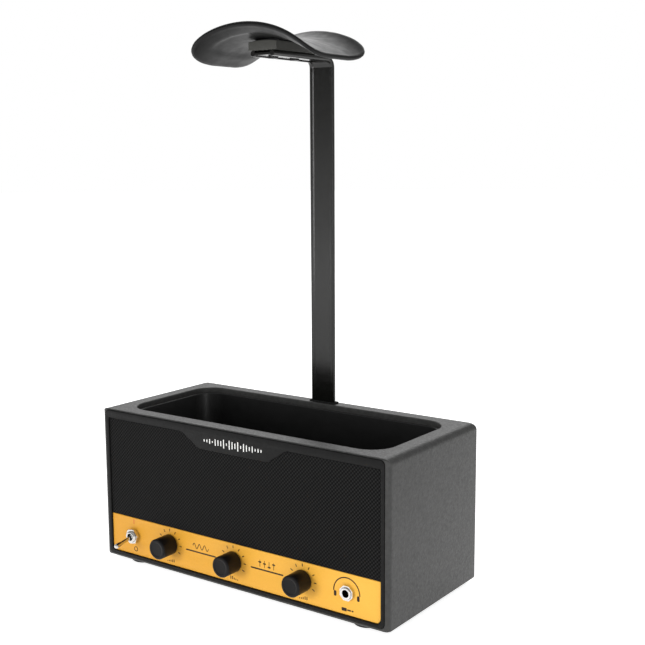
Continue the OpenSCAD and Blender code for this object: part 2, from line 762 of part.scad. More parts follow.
// Shaft with its rotor disc; the flat that drives the knob faces down
module pot_shaft(x) {
    flat = 0.75;
    color("#c4c4c4") union() {
        y_rod(x, axis_z, y_frame_back + 1.2, y_frame_back + 2.4, 3.9);
        difference() {
            y_rod(x, axis_z, y_panel - knob_len + 1.6, y_frame_back + 2.3, shaft_d / 2);
            block_between([x - 4, y_panel - knob_len, axis_z - 4],
                [x + 4, y_panel - 2, axis_z - shaft_d / 2 + flat]);
        }
    }
}

module pot_wiper(x) {
    color("#c9b48a") difference() {
        y_rod(x, axis_z, y_frame_back + 2.4, y_frame_back + 2.9, 3.2);
        y_rod(x, axis_z, y_frame_back + 2, y_frame_back + 4, 1.4);
        block_between([x - 4, y_frame_back + 2, axis_z - 4], [x + 4, y_frame_back + 4, axis_z - 0.8]);
    }
}

module knob(x) {
    front = y_panel - 0.7 - knob_len;
    chamfer = 0.6;
    flat = 0.75;
    color("#1b1b1b") difference() {
        union() {
            y_rod(x, axis_z, front + chamfer, y_panel - 0.7, knob_d / 2);
            translate([x, front + chamfer + eps, axis_z]) rotate([90, 0, 0])
                cylinder(r1 = knob_d / 2, r2 = knob_d / 2 - chamfer, h = chamfer);
        }
        difference() {
            y_rod(x, axis_z, y_panel - knob_len + 1.4, y_panel, shaft_d / 2 + 0.03);
            block_between([x - 4, y_panel - knob_len, axis_z - 5],
                [x + 4, y_panel - 2.2, axis_z - shaft_d / 2 + flat - 0.03]);
        }
        y_rod(x, axis_z, y_panel - 1.6, y_panel, knob_d / 2 - 1.4);
    }
}

// ---- Electronics ----

module control_board() {
    color("#0f4a2c") difference() {
        block_between([-56, control_pcb_y, 8.5], [57, control_pcb_y + pcb_t, 30]);
        for (i = [-1 : 1]) for (k = [-1 : 1])
            y_rod(knob_mid_x + i * knob_pitch + k * 2.5, axis_z - 2.6, control_pcb_y - 1,
                control_pcb_y + 3, 0.45);
    }
}

module main_board() {
    color("#0f4a2c") difference() {
        translate([0, 0, pcb_low]) linear_extrude(pcb_t)
            polygon([[-70, -22], [70, -22], [70, 28], [-28, 28], [-28, 38.4], [-80, 38.4], [-80, 28],
                [-70, 28]]);
        for (s = [-1, 1]) for (y = post_ys)
            translate([s * post_x, y, pcb_low - 1]) cylinder(r = 1.5, h = 4);
    }
}

module board_screws() {
    color("#8a8a8a") for (s = [-1, 1]) for (y = post_ys)
        translate([s * post_x, y, pcb_top]) mirror([0, 0, 1]) pan_screw(1.08, 5.5, 2.4, 1.4);
}

module amplifier_chips() {
    color("#111111") for (x = [-14, 14]) {
        translate([x - 4, 0, pcb_top + 0.3]) cube([8, 10, 2]);
        for (s = [-1, 1]) for (k = [0 : 6])
            translate([x + s * 4.6 - 0.7, 1 + k * 1.27, pcb_top]) cube([1.4, 0.45, 0.5]);
    }
}

module filter_capacitors() {
    color("#20304a") for (p = [[-36, 4], [-36, 16], [36, 4], [36, 16], [50, 4]])
        translate([p[0], p[1], pcb_top]) cylinder(r = 4, h = 11.5);
}

// Connector housings: switch wires, jack wires and the two ends of the ribbon
module board_connectors() {
    color("#e8e4d8") {
        for (x = [-57, 57]) translate([x - 4, -18, pcb_top]) cube([8, 5, 6]);
        translate([-11, -18, pcb_top]) cube([22, 5, 6]);
        translate([-11, control_pcb_y + pcb_t, 20.5]) cube([22, 3, 6]);
    }
}

module rear_plate() {
    color("#1a1a1a") difference() {
        translate([rear_x, 0, rear_z]) upright(y_back - rear_t, y_back)
            even_rect(rear_w, rear_h, 2);
        y_rod(line_x, line_z, y_back - 4, y_back + 1, thread_r + 0.1);
        translate([usb_x, 0, usb_z]) upright(y_back - 4, y_back + 1) even_rect(9.4, 3.7, 1.8);
        for (s = [-1, 1]) translate([rear_x + s * rear_screw_x, 0, rear_z]) {
            y_rod(0, 0, y_back - 4, y_back + 1, 1.15);
            translate([0, y_back + eps, 0]) rotate([90, 0, 0]) cylinder(r1 = 2.2, r2 = 1.1, h = 1.15);
        }
    }
}

module rear_screws() {
    color("#8a8a8a") for (s = [-1, 1])
        translate([rear_x + s * rear_screw_x, 0, rear_z]) {
            y_rod(0, 0, y_back - 5, y_back - 1, 1.03);
            difference() {
                translate([0, y_back - 0.04, 0]) rotate([90, 0, 0])
                    cylinder(r1 = 2.1, r2 = 1.02, h = 1.08);
                for (a = [0, 90]) translate([0, y_back, 0]) rotate([0, a, 0])
                    cube([2.4, 0.8, 0.5], center = true);
            }
        }
}

module line_in_jack() {
    color("#151515") difference() {
        union() {
            block_between([line_x - 4.5, 30.5, pcb_top],
                [line_x + 4.5, y_back - wall - 0.05, line_z + 3]);
            y_rod(line_x, line_z, y_back - wall - 0.1, y_back + 0.3, 2.9);
        }
        y_rod(line_x, line_z, 32, y_back + 1, jack_bore_d / 2);
    }
}

module power_inlet() {
    color("#c8c8cc") {
        difference() {
            translate([usb_x, 0, usb_z]) upright(35.8, y_back - 0.2) even_rect(9, 3.3, 1.6);
            translate([usb_x, 0, usb_z]) upright(37, y_back + 1) even_rect(8.4, 2.7, 1.3);
        }
        block_between([usb_x - 3.3, 36.9, usb_z - 0.35], [usb_x + 3.3, y_back - 1.4, usb_z + 0.35]);
    }
}

// Flat ribbon: back from the control board, round a quarter turn and down to the main board
module ribbon_cable() {
    half = 0.3;
    turn_r = 4;
    y_turn = -15.5 - turn_r;
    z_run = 23.5;
    z_end = pcb_top + 6;
    color("#9a9a9a") translate([-10, 0, 0]) rotate([90, 0, 90]) linear_extrude(20) {
        translate([control_pcb_y + pcb_t + 3, z_run - half])
            square([y_turn - control_pcb_y - pcb_t - 3 + eps, 2 * half]);
        intersection() {
            translate([y_turn, z_run - turn_r]) difference() {
                circle(turn_r + half);
                circle(turn_r - half);
            }
            translate([y_turn, z_end]) square([10, z_run + half - z_end]);
        }
    }
}

module switch_wires() {
    color("#a03028") for (k = [0, 1]) wire([
        [-toggle_x, y_frame_back + 13.6, switch_z - 4.2 * k],
        [-toggle_x, y_frame_back + 17, switch_z - 4.2 * k + 1],
        [-67, -19, 25.5 - 2 * k],
        [-58 - 2 * k, -16, 24.5 - 2 * k],
        [-56 - 2.2 * k, -15.5, pcb_top + 6]], 0.55);
}

module jack_wires() {
    color("#3060a0") for (k = [-1 : 1]) wire([
        [jack_x + k * 1.9, y_frame_back + 16.1 + eps, jack_z + 2.4],
        [jack_x + k * 1.9, y_frame_back + 18, jack_z + 3],
        [65, -19, 25 + 1.6 * k],
        [58.5 - 1.4 * k, -16, 24 + 1.6 * k],
        [57 - 1.8 * k, -15.5, pcb_top + 6]], 0.5);
}

module volume_pot_housing() { pot_housing(knob_mid_x - knob_pitch); }
module bass_pot_housing() { pot_housing(knob_mid_x); }
module treble_pot_housing() { pot_housing(knob_mid_x + knob_pitch); }
module volume_pot_bushing() { pot_bushing(knob_mid_x - knob_pitch); }
module bass_pot_bushing() { pot_bushing(knob_mid_x); }
module treble_pot_bushing() { pot_bushing(knob_mid_x + knob_pitch); }
module volume_pot_track() { pot_track(knob_mid_x - knob_pitch); }
module bass_pot_track() { pot_track(knob_mid_x); }
module treble_pot_track() { pot_track(knob_mid_x + knob_pitch); }
module volume_knob() { knob(knob_mid_x - knob_pitch); }
module bass_knob() { knob(knob_mid_x); }
module treble_knob() { knob(knob_mid_x + knob_pitch); }
module volume_shaft() { pot_shaft(knob_mid_x - knob_pitch); }
module bass_shaft() { pot_shaft(knob_mid_x); }
module treble_shaft() { pot_shaft(knob_mid_x + knob_pitch); }
module volume_wiper() { pot_wiper(knob_mid_x - knob_pitch); }
module bass_wiper() { pot_wiper(knob_mid_x); }
module treble_wiper() { pot_wiper(knob_mid_x + knob_pitch); }

cabinet_shell();
front_frame();
frame_screws();
grille_board();
grille_cloth();
control_panel();
tray_tub();
tray_screws();
base_plate();
base_screws();
rubber_feet();
stand_bar();
bar_screws();
post_grommet();
saddle_block();
block_screws();
saddle_pad();
saddle();
toggle_bushing();
toggle_body();
toggle_washer();
toggle_nut();
toggle_terminals();
jack_barrel();
jack_body();
jack_nut();
jack_contacts();
volume_pot_housing();
bass_pot_housing();
treble_pot_housing();
volume_pot_bushing();
bass_pot_bushing();
treble_pot_bushing();
volume_pot_track();
bass_pot_track();
treble_pot_track();
control_board();
main_board();
board_screws();
amplifier_chips();
filter_capacitors();
board_connectors();
rear_plate();
rear_screws();
line_in_jack();
power_inlet();
ribbon_cable();
switch_wires();
jack_wires();
volume_knob();
bass_knob();
treble_knob();
volume_shaft();
bass_shaft();
treble_shaft();
volume_wiper();
bass_wiper();
treble_wiper();
toggle_lever();
switch_rocker();
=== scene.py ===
"""Looks of a desk headphone amplifier with a headphone post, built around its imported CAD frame.

Lengths are in metres, in the frame's own axes: X right, Y back, Z up from the plane under the feet.
"""

import json
import math

import bmesh
import bpy
from mathutils import Matrix, Vector
from mathutils.geometry import tessellate_polygon


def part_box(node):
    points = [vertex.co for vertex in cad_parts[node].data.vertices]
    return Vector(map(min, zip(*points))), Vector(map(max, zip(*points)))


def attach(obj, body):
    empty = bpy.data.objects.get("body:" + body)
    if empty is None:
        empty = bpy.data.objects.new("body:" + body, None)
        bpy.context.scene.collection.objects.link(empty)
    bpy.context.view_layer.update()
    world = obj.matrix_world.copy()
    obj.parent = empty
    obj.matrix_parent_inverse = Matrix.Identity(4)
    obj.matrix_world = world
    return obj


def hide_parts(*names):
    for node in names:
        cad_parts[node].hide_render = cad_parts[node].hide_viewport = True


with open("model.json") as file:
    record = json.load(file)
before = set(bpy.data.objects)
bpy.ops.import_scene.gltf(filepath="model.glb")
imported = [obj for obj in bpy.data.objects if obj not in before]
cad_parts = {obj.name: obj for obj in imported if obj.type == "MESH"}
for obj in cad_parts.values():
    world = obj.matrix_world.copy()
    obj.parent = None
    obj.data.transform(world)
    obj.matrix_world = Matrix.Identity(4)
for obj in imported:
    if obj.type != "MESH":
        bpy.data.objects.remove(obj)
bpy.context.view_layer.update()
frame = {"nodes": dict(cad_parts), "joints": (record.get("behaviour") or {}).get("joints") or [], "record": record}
scene = bpy.context.scene

MM = 0.001
STAND = "stand"


# ---- places taken from the frame

CABINET_LOW, CABINET_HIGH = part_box("cabinet_shell")
FRAME_LOW, FRAME_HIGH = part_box("front_frame")
PANEL_LOW, PANEL_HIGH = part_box("control_panel")
CLOTH_LOW, CLOTH_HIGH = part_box("grille_cloth")
CARD_LOW, CARD_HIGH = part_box("grille_board")
TUB_LOW, TUB_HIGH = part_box("tray_tub")
BAR_LOW, BAR_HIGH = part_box("stand_bar")
BLOCK_LOW, BLOCK_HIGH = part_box("saddle_block")
PAD_LOW, PAD_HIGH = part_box("saddle_pad")
SADDLE_LOW, SADDLE_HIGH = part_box("saddle")
GROMMET_LOW, GROMMET_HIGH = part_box("post_grommet")
PLATE_LOW, PLATE_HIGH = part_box("base_plate")
FEET_LOW, FEET_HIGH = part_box("rubber_feet")
REAR_LOW, REAR_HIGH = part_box("rear_plate")
LINE_LOW, LINE_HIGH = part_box("line_in_jack")
INLET_LOW, INLET_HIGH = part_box("power_inlet")
NUT_LOW, NUT_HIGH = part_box("toggle_nut")
WASHER_LOW, WASHER_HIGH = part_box("toggle_washer")
BUSHING_LOW, BUSHING_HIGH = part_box("toggle_bushing")
BARREL_LOW, BARREL_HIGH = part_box("jack_barrel")
RING_LOW, RING_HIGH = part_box("jack_nut")

JOINT_AT = {j["name"]: Vector(j["pos_m"]) for j in frame["joints"]}
KNOB_NAMES = ("volume", "bass", "treble")
KNOB_AT = {name: JOINT_AT[name + "_turn"] for name in KNOB_NAMES}
TOGGLE_AT = JOINT_AT["toggle_throw"]
JACK_AT = (RING_LOW + RING_HIGH) / 2

FRONT_Y = CABINET_LOW.y
DECK_Z = CABINET_HIGH.z
HALF_W = CABINET_HIGH.x
BACK_Y = CABINET_HIGH.y

# Sizes that a box can't give
WALL = 2.5 * MM
DECK_T = 3 * MM
TRAY_HALF_W = 84 * MM
TRAY_Y = (-35 * MM, 33 * MM)
TRAY_R = 13 * MM
TUB_LIP = 1.2 * MM
POCKET_Y = FRONT_Y + 2.4 * MM
POCKET_R = 2.8 * MM
POCKET_HALF_W = HALF_W - 4.7 * MM
POCKET_LOW_Z = CABINET_LOW.z + 3 * MM
POCKET_TOP_Z = DECK_Z - 5.1 * MM
BADGE_HALF_TOP = 35 * MM
BADGE_HALF_LOW = 23 * MM
BADGE_H = 7.7 * MM
FRAME_R = 2.5 * MM
FRAME_BACK_Y = FRONT_Y + 4.5 * MM
SADDLE_ARCH_R = 70 * MM
SADDLE_T = 1.8 * MM
SADDLE_RIM_T = 0.9 * MM
THREAD_R = 3 * MM
# From the top of the line input down to its axis
LINE_AXIS_DROP = 3 * MM


# ---- outlines

def arc(cx, cy, radius, start, end, steps):
    """Points along an arc, with the angles in degrees."""
    angles = [math.radians(start + (end - start) * i / steps) for i in range(steps + 1)]
    return [(cx + radius * math.cos(a), cy + radius * math.sin(a)) for a in angles]


def round_rect(low, high, radii, steps=8):
    """Anticlockwise rectangle between two corners, with one radius or four from low left."""
    r = [radii] * 4 if isinstance(radii, (int, float)) else list(radii)
    return (
        arc(low[0] + r[0], low[1] + r[0], r[0], 180, 270, steps)
        + arc(high[0] - r[1], low[1] + r[1], r[1], 270, 360, steps)
        + arc(high[0] - r[2], high[1] - r[2], r[2], 0, 90, steps)
        + arc(low[0] + r[3], high[1] - r[3], r[3], 90, 180, steps)
    )


def circle(cx, cy, radius, steps=48):
    return arc(cx, cy, radius, 0, 360 - 360 / steps, steps - 1)


def full_turn(steps):
    return [2 * math.pi * i / steps for i in range(steps)]


def quarter_turn(steps):
    return [math.pi / 2 * k / steps for k in range(steps + 1)]


def front_corners(low, high, gap=0):
    """Low and high corner of a box seen from the front, moved out by a gap."""
    return (low.x - gap, low.z - gap), (high.x + gap, high.z + gap)


def in_mm(points):
    return [(a * MM, b * MM) for a, b in points]


def signed_area(loop):
    return sum(
        a[0] * b[1] - b[0] * a[1] for a, b in zip(loop, loop[1:] + loop[:1])
    ) / 2


def inset_loop(loop, distance):
    """The loop moved to its left by a distance, with mitred corners."""
    moved = []
    for i, here in enumerate(loop):
        before, after = Vector(loop[i - 1]), Vector(loop[(i + 1) % len(loop)])
        here = Vector(here)
        d1, d2 = (here - before).normalized(), (after - here).normalized()
        n1, n2 = Vector((-d1.y, d1.x)), Vector((-d2.y, d2.x))
        mean = (n1 + n2).normalized()
        moved.append(tuple(here + mean * distance / max(0.3, mean.dot(n1))))
    return moved


# ---- meshes

def face_xz(u, v, w):
    """Outline in the front plane: u is X, v is Z and w is Y."""
    return Vector((u, w, v))


def lie_flat(u, v, w):
    """Outline in a level plane: u is X, v is Y and w is Z."""
    return Vector((u, v, w))


def weld(bm):
    bmesh.ops.remove_doubles(bm, verts=bm.verts, dist=1e-7)
    bmesh.ops.dissolve_degenerate(bm, edges=bm.edges, dist=1e-7)
    bmesh.ops.recalc_face_normals(bm, faces=bm.faces)


def add_rings(bm, rings, close_start=True, close_end=True):
    """Skins closed rings that have the same number of points."""
    rows = [[bm.verts.new(p) for p in ring] for ring in rings]
    count = len(rows[0])
    for a, b in zip(rows, rows[1:]):
        for i in range(count):
            j = (i + 1) % count
            bm.faces.new((a[i], a[j], b[j], b[i]))
    if close_start:
        bm.faces.new(rows[0])
    if close_end:
        bm.faces.new(rows[-1])


def edge_steps(bevel, steps):
    """(inset, depth) pairs round a quarter-circle edge, from the face to the side."""
    return [(bevel * (1 - math.sin(a)), bevel * (1 - math.cos(a))) for a in quarter_turn(steps)]


def add_plate(bm, outer, holes, w0, w1, bevel, place=face_xz, steps=3):
    """Flat plate from depth w0 to w1, with rounded edges on both faces and round its holes."""
    loops = [outer if signed_area(outer) > 0 else outer[::-1]]
    loops += [h if signed_area(h) < 0 else h[::-1] for h in holes]
    profile = [(inset, w0 + depth) for inset, depth in edge_steps(bevel, steps)]
    profile += [(inset, w1 - depth) for inset, depth in reversed(edge_steps(bevel, steps))]
    for loop in loops:
        add_rings(
            bm,
            [[place(u, v, w) for u, v in inset_loop(loop, inset)] for inset, w in profile],
            False,
            False,
        )
    for w in (w0, w1):
        flat = [[Vector((u, v, 0)) for u, v in inset_loop(loop, bevel)] for loop in loops]
        points = [p for loop in flat for p in loop]
        verts = [bm.verts.new(place(p.x, p.y, w)) for p in points]
        for tri in tessellate_polygon(flat):
            bm.faces.new([verts[i] for i in tri])


def add_lathe(bm, centre, profile, steps=64, axis="Y", capped=True):
    """Turns (radius, distance along the axis) pairs into a round body.

    Its ends close on the axis; uncapped, the profile comes back to its own first point.
    """
    rings = []
    for radius, along in profile:
        ring = []
        for a in full_turn(steps):
            u, v = max(radius, 1e-6) * math.cos(a), max(radius, 1e-6) * math.sin(a)
            offset = {"X": (along, u, v), "Y": (u, along, v), "Z": (u, v, along)}[axis]
            ring.append(Vector(centre) + Vector(offset))
        rings.append(ring)
    add_rings(bm, rings, capped, capped)


def prism(outline, w0, w1, place=face_xz):
    """Closed straight body over an outline, to cut with."""
    bm = bmesh.new()
    add_rings(bm, [[place(u, v, w) for u, v in outline] for w in (w0, w1)])
    return bm


def rounded_profile(corners, radius, steps=3):
    """Open profile with each inner corner replaced by a small arc, drawn as a quadratic curve."""
    points = [corners[0]]
    for i in range(1, len(corners) - 1):
        before, here, after = (Vector(corners[i + k]) for k in (-1, 0, 1))
        cut = min(radius, (here - before).length * 0.45, (after - here).length * 0.45)
        a = here + (before - here).normalized() * cut
        b = here + (after - here).normalized() * cut
        for k in range(steps + 1):
            t = k / steps
            p = a * (1 - t) ** 2 + here * 2 * t * (1 - t) + b * t * t
            points.append(tuple(p))
    points.append(corners[-1])
    return points


def finish_piece(name, bm, finish, replaces=(), slot=None, body=STAND, sharp=32):
    """Turns a bmesh into a named piece that rides on a CAD body; its slot argument is not used."""
    weld(bm)
    mesh = bpy.data.meshes.new(name)
    bm.to_mesh(mesh)
    bm.free()
    piece = bpy.data.objects.new(name, mesh)
    scene.collection.objects.link(piece)
    mesh.materials.append(FINISHES[finish])
    mesh.shade_smooth()
    mesh.set_sharp_from_angle(angle=math.radians(sharp))
    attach(piece, body)
    slot = slot or finish
    if replaces:
        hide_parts(*replaces)
    return piece


def carve(piece, cutters):
    """Cuts closed bodies out of a piece and keeps the result as its mesh."""
    for cutter_bm in cutters:
        weld(cutter_bm)
        mesh = bpy.data.meshes.new("cutter")
        cutter_bm.to_mesh(mesh)
        cutter_bm.free()
        cutter = bpy.data.objects.new("cutter", mesh)
        scene.collection.objects.link(cutter)
        cut = piece.modifiers.new("cut", "BOOLEAN")
        cut.operation = "DIFFERENCE"
        cut.solver = "EXACT"
        cut.object = cutter
        bpy.context.view_layer.update()
        result = bpy.data.meshes.new_from_object(
            piece.evaluated_get(bpy.context.evaluated_depsgraph_get())
        )
        piece.modifiers.remove(cut)
        piece.data = result
        bpy.data.objects.remove(cutter)
    piece.data.name = piece.name
    piece.data.shade_smooth()
    piece.data.set_sharp_from_angle(angle=math.radians(32))


# ---- materials

def grey(level):
    return (level, level, level)


class Finish:
    """A node material built round one Principled shader, in the piece's own coordinates."""

    def __init__(self, name, color, roughness, metallic=0.0, specular=0.5, coat=0.0, sheen=0.0):
        self.material = bpy.data.materials.new(name)
        self.material.use_nodes = True
        self.tree = self.material.node_tree
        self.shader = self.tree.nodes["Principled BSDF"]
        self.shader.inputs["Metallic"].default_value = metallic
        self.shader.inputs["Specular IOR Level"].default_value = specular
        self.shader.inputs["Coat Weight"].default_value = coat
        self.shader.inputs["Coat Roughness"].default_value = 0.12
        self.shader.inputs["Sheen Weight"].default_value = sheen
        self.shader.inputs["Sheen Roughness"].default_value = 0.4
        self.color = color
        self.set_color(color)
        self.shader.inputs["Roughness"].default_value = roughness
        self.roughness = roughness
        self.height = None
        self.coords = self.node("ShaderNodeTexCoord").outputs["Object"]

    def node(self, kind, **values):
        made = self.tree.nodes.new(kind)
        for key, value in values.items():
            if hasattr(made, key):
                setattr(made, key, value)
            else:
                made.inputs[key.replace("_", " ").title()].default_value = value
        return made

    def link(self, source, target):
        self.tree.links.new(source, target)

    def set_color(self, color):
        self.shader.inputs["Base Color"].default_value = (*color, 1)

    def axes(self):
        """The coordinates' own X, Y and Z."""
        split = self.node("ShaderNodeSeparateXYZ")
        self.link(self.coords, split.inputs[0])
        return split.outputs

    def stretched(self, scale):
        """Coordinates scaled along each axis."""
        mapping = self.node("ShaderNodeMapping")
        mapping.inputs["Scale"].default_value = scale
        self.link(self.coords, mapping.inputs["Vector"])
        return mapping.outputs["Vector"]

    def noise(self, scale, detail=3.0, rough=0.5, stretch=None):
        tex = self.node("ShaderNodeTexNoise", scale=scale, detail=detail, roughness=rough)
        self.link(self.stretched(stretch) if stretch else self.coords, tex.inputs["Vector"])
        return tex.outputs["Fac"]

    def cells(self, scale, feature="F1", stretch=None, randomness=1.0):
        tex = self.node("ShaderNodeTexVoronoi", feature=feature)
        tex.inputs["Scale"].default_value = scale
        tex.inputs["Randomness"].default_value = randomness
        self.link(self.stretched(stretch) if stretch else self.coords, tex.inputs["Vector"])
        return tex.outputs["Distance"]

    def math(self, operation, a, b=None):
        made = self.node("ShaderNodeMath", operation=operation)
        for socket, value in zip(made.inputs, (a, b)):
            if value is None:
                continue
            if isinstance(value, (int, float)):
                socket.default_value = value
            else:
                self.link(value, socket)
        return made.outputs[0]

    def ramp(self, source, stops):
        """Maps 0..1 to colours or grey levels; stops are (place, value)."""
        made = self.node("ShaderNodeValToRGB")
        elements = made.color_ramp.elements
        while len(elements) < len(stops):
            elements.new(0.5)
        for element, (place, value) in zip(elements, stops):
            element.position = place
            level = grey(value) if isinstance(value, (int, float)) else value
            element.color = (*level, 1)
        self.link(source, made.inputs["Fac"])
        return made.outputs["Color"]

    def color_from(self, source, dark, light, low=0.3, high=0.7):
        self.link(
            self.ramp(source, [(low, dark), (high, light)]), self.shader.inputs["Base Color"]
        )
        return self

    def shade_color(self, source, spread, low=0.3, high=0.7):
        """Varies the base colour by a share either way."""
        dark = tuple(c * (1 - spread) for c in self.color)
        light = tuple(min(1, c * (1 + spread)) for c in self.color)
        return self.color_from(source, dark, light, low, high)

    def vary_roughness(self, source, spread, low=0.3, high=0.7):
        levels = [(low, max(0.02, self.roughness - spread)), (high, min(1, self.roughness + spread))]
        self.link(self.ramp(source, levels), self.shader.inputs["Roughness"])
        return self

    def bump(self, source, depth, strength=1.0):
        """Adds relief; depth is the height in metres between 0 and 1 of the source."""
        made = self.node("ShaderNodeBump")
        made.inputs["Strength"].default_value = strength
        made.inputs["Distance"].default_value = depth
        self.link(source, made.inputs["Height"])
        if self.height is not None:
            self.link(self.height, made.inputs["Normal"])
        self.height = made.outputs["Normal"]
        self.link(self.height, self.shader.inputs["Normal"])
        return self


def uneven(f, tint, gloss, relief):
    """Uneven colour, uneven gloss and fine relief, each as (noise scale, detail, amount)."""
    f.shade_color(f.noise(*tint[:2]), tint[2])
    f.vary_roughness(f.noise(*gloss[:2]), gloss[2])
    f.bump(f.noise(*relief[:2]), relief[2])
    return f.material


def moulded(name, color, roughness, grain=0.02 * MM, scale=2600, **options):
    """Moulded plastic: fine spark texture, faint flow marks and uneven gloss."""
    f = Finish(name, color, roughness, **options)
    return uneven(f, (90, 4, 0.12), (240, 3, 0.05), (scale, 2, grain))


def turned(name, color, roughness, bore=None, **options):
    """Plated or turned metal: fine rings, tiny scratches and uneven gloss.

    A bore is (axis point, radius); the metal inside it is painted near black as painted shade.
    """
    f = Finish(name, color, roughness, metallic=1.0, **options)
    grain = f.noise(700, 4)
    if bore:
        paint_bore_shade(f, grain, *bore)
    else:
        f.shade_color(grain, 0.06)
    f.vary_roughness(f.noise(1800, 4, stretch=(1, 7, 1)), 0.06)
    f.bump(f.noise(5000, 2, stretch=(1, 5, 1)), 0.004 * MM)
    return f.material


def paint_bore_shade(f, grain, at, radius):
    """Metal colour outside a round bore along Y, and painted shade, near black, inside it."""
    place = f.axes()
    dx = f.math("SUBTRACT", place["X"], at.x)
    dz = f.math("SUBTRACT", place["Z"], at.z)
    away = f.math("SQRT", f.math("ADD", f.math("MULTIPLY", dx, dx), f.math("MULTIPLY", dz, dz)))
    # Painted shade: inside the bore the colour ramps to near black, where shade falls in the hole.
    inside = f.math("LESS_THAN", away, radius)
    mixed = f.math("ADD", f.math("MULTIPLY", grain, 0.8), inside)
    dark = tuple(c * 0.94 for c in f.color)
    light = tuple(min(1, c * 1.06) for c in f.color)
    black = grey(0.004)
    stops = [(0.24, dark), (0.56, light), (0.84, light), (0.9, black)]
    f.link(f.ramp(mixed, stops), f.shader.inputs["Base Color"])


def leather_grain(name, color, roughness, relief, specular=0.3):
    """Soft leather-like moulding: pebbles between fine creases."""
    f = Finish(name, color, roughness, specular=specular)
    pebbles = f.cells(1050, "SMOOTH_F1")
    creases = f.cells(620, "DISTANCE_TO_EDGE")
    blend = f.math("ADD", f.math("MULTIPLY", pebbles, -0.8), f.math("MINIMUM", creases, 0.22))
    f.shade_color(f.noise(420, 5), 0.22)
    f.vary_roughness(f.noise(900, 4), 0.09)
    f.bump(f.noise(160, 3), 0.05 * MM)
    f.bump(blend, relief)
    return f.material


def grille_weave(name):
    """Black woven cloth with painted light and shade: the colour is lighter on the threads' crossings and painted
    shade darkens the openings between them.
    """
    f = Finish(name, grey(0.012), 0.8, specular=0.12)
    height = weave_light_and_shade_nodes(f)
    # Painted light and shade: lighter on the raised crossings, darker in the openings.
    f.color_from(height, grey(0.0008), grey(0.017), 0.4, 0.7)
    f.bump(f.noise(7000, 2, stretch=(1, 1, 1)), 0.03 * MM)
    return f.material


WEAVE_PITCH = 2 * MM


def weave_height(x, z):
    """Height from 0 to 1 of the weave's crossings, over the cloth."""
    k = 2 * math.pi / WEAVE_PITCH
    return 0.5 + 0.5 * math.cos(k * x) * math.cos(k * z)


def weave_light_and_shade_nodes(f):
    """The same pattern as weave_height, painted into the cloth's colour as light on the crossings and shade in the
    openings.
    """
    place = f.axes()
    k = 2 * math.pi / WEAVE_PITCH
    cx = f.math("COSINE", f.math("MULTIPLY", place["X"], k))
    cz = f.math("COSINE", f.math("MULTIPLY", place["Z"], k))
    return f.math("ADD", f.math("MULTIPLY", f.math("MULTIPLY", cx, cz), 0.5), 0.5)


def painted_gold(name):
    """Satin gold paint with fine metallic grain, and painted light that makes it lighter towards the right."""
    f = Finish(name, (0.80, 0.45, 0.075), 0.46, specular=0.25)
    place = f.axes()
    # Painted light: the colour grows lighter along X, towards the lit right side.
    across = f.math("MULTIPLY_ADD", place["X"], 2.6)
    across.node.inputs[2].default_value = 0.5
    grain = f.math("MULTIPLY", f.math("SUBTRACT", f.noise(3600, 3), 0.5), 0.35)
    f.color_from(f.math("ADD", across, grain), (0.60, 0.28, 0.024), (0.82, 0.44, 0.062), 0.25, 0.75)
    f.vary_roughness(f.noise(500, 3), 0.05)
    f.bump(f.noise(3000, 2), 0.008 * MM)
    return f.material


def rubber(name, color):
    f = Finish(name, color, 0.78, specular=0.3)
    return uneven(f, (260, 4, 0.25), (900, 3, 0.08), (3200, 3, 0.02 * MM))


def lacquer(name, color, roughness):
    """Smooth powder-coated metal with faint orange peel."""
    f = Finish(name, color, roughness, specular=0.35, coat=0.12)
    return uneven(f, (120, 3, 0.10), (420, 3, 0.04), (500, 2, 0.003 * MM))


def circuit_board(name):
    """Green solder mask over copper, with a pale pattern of pads."""
    f = Finish(name, (0.012, 0.10, 0.035), 0.38, coat=0.2)
    pads = f.cells(420, "F1", randomness=0.35)
    f.color_from(pads, (0.35, 0.33, 0.20), (0.010, 0.085, 0.030), 0.16, 0.24)
    f.bump(f.noise(700, 3), 0.01 * MM)
    return f.material


def wire_jacket(name, color):
    f = Finish(name, color, 0.5, specular=0.4)
    return uneven(f, (500, 3, 0.15), (900, 2, 0.06), (2500, 2, 0.01 * MM))


def printed(name, color):
    """Screen-printed ink with slightly uneven cover."""
    f = Finish(name, color, 0.55, specular=0.35)
    return uneven(f, (2600, 4, 0.18), (1500, 3, 0.08), (6000, 2, 0.004 * MM))


def ribbon_jacket(name):
    """Grey flat cable: a row of wires side by side along X, with painted shade in the grooves between them."""
    f = Finish(name, (0.30, 0.30, 0.31), 0.5)
    place = f.axes()
    wave = f.math("SINE", f.math("MULTIPLY", place["X"], 2 * math.pi / (1.27 * MM)))
    height = f.math("ADD", f.math("MULTIPLY", wave, 0.5), 0.5)
    # Painted shade: the colour is darker in the grooves between the wires and lighter on their tops.
    f.color_from(height, (0.16, 0.16, 0.17), (0.36, 0.36, 0.37))
    f.bump(wave, 0.08 * MM)
    return f.material


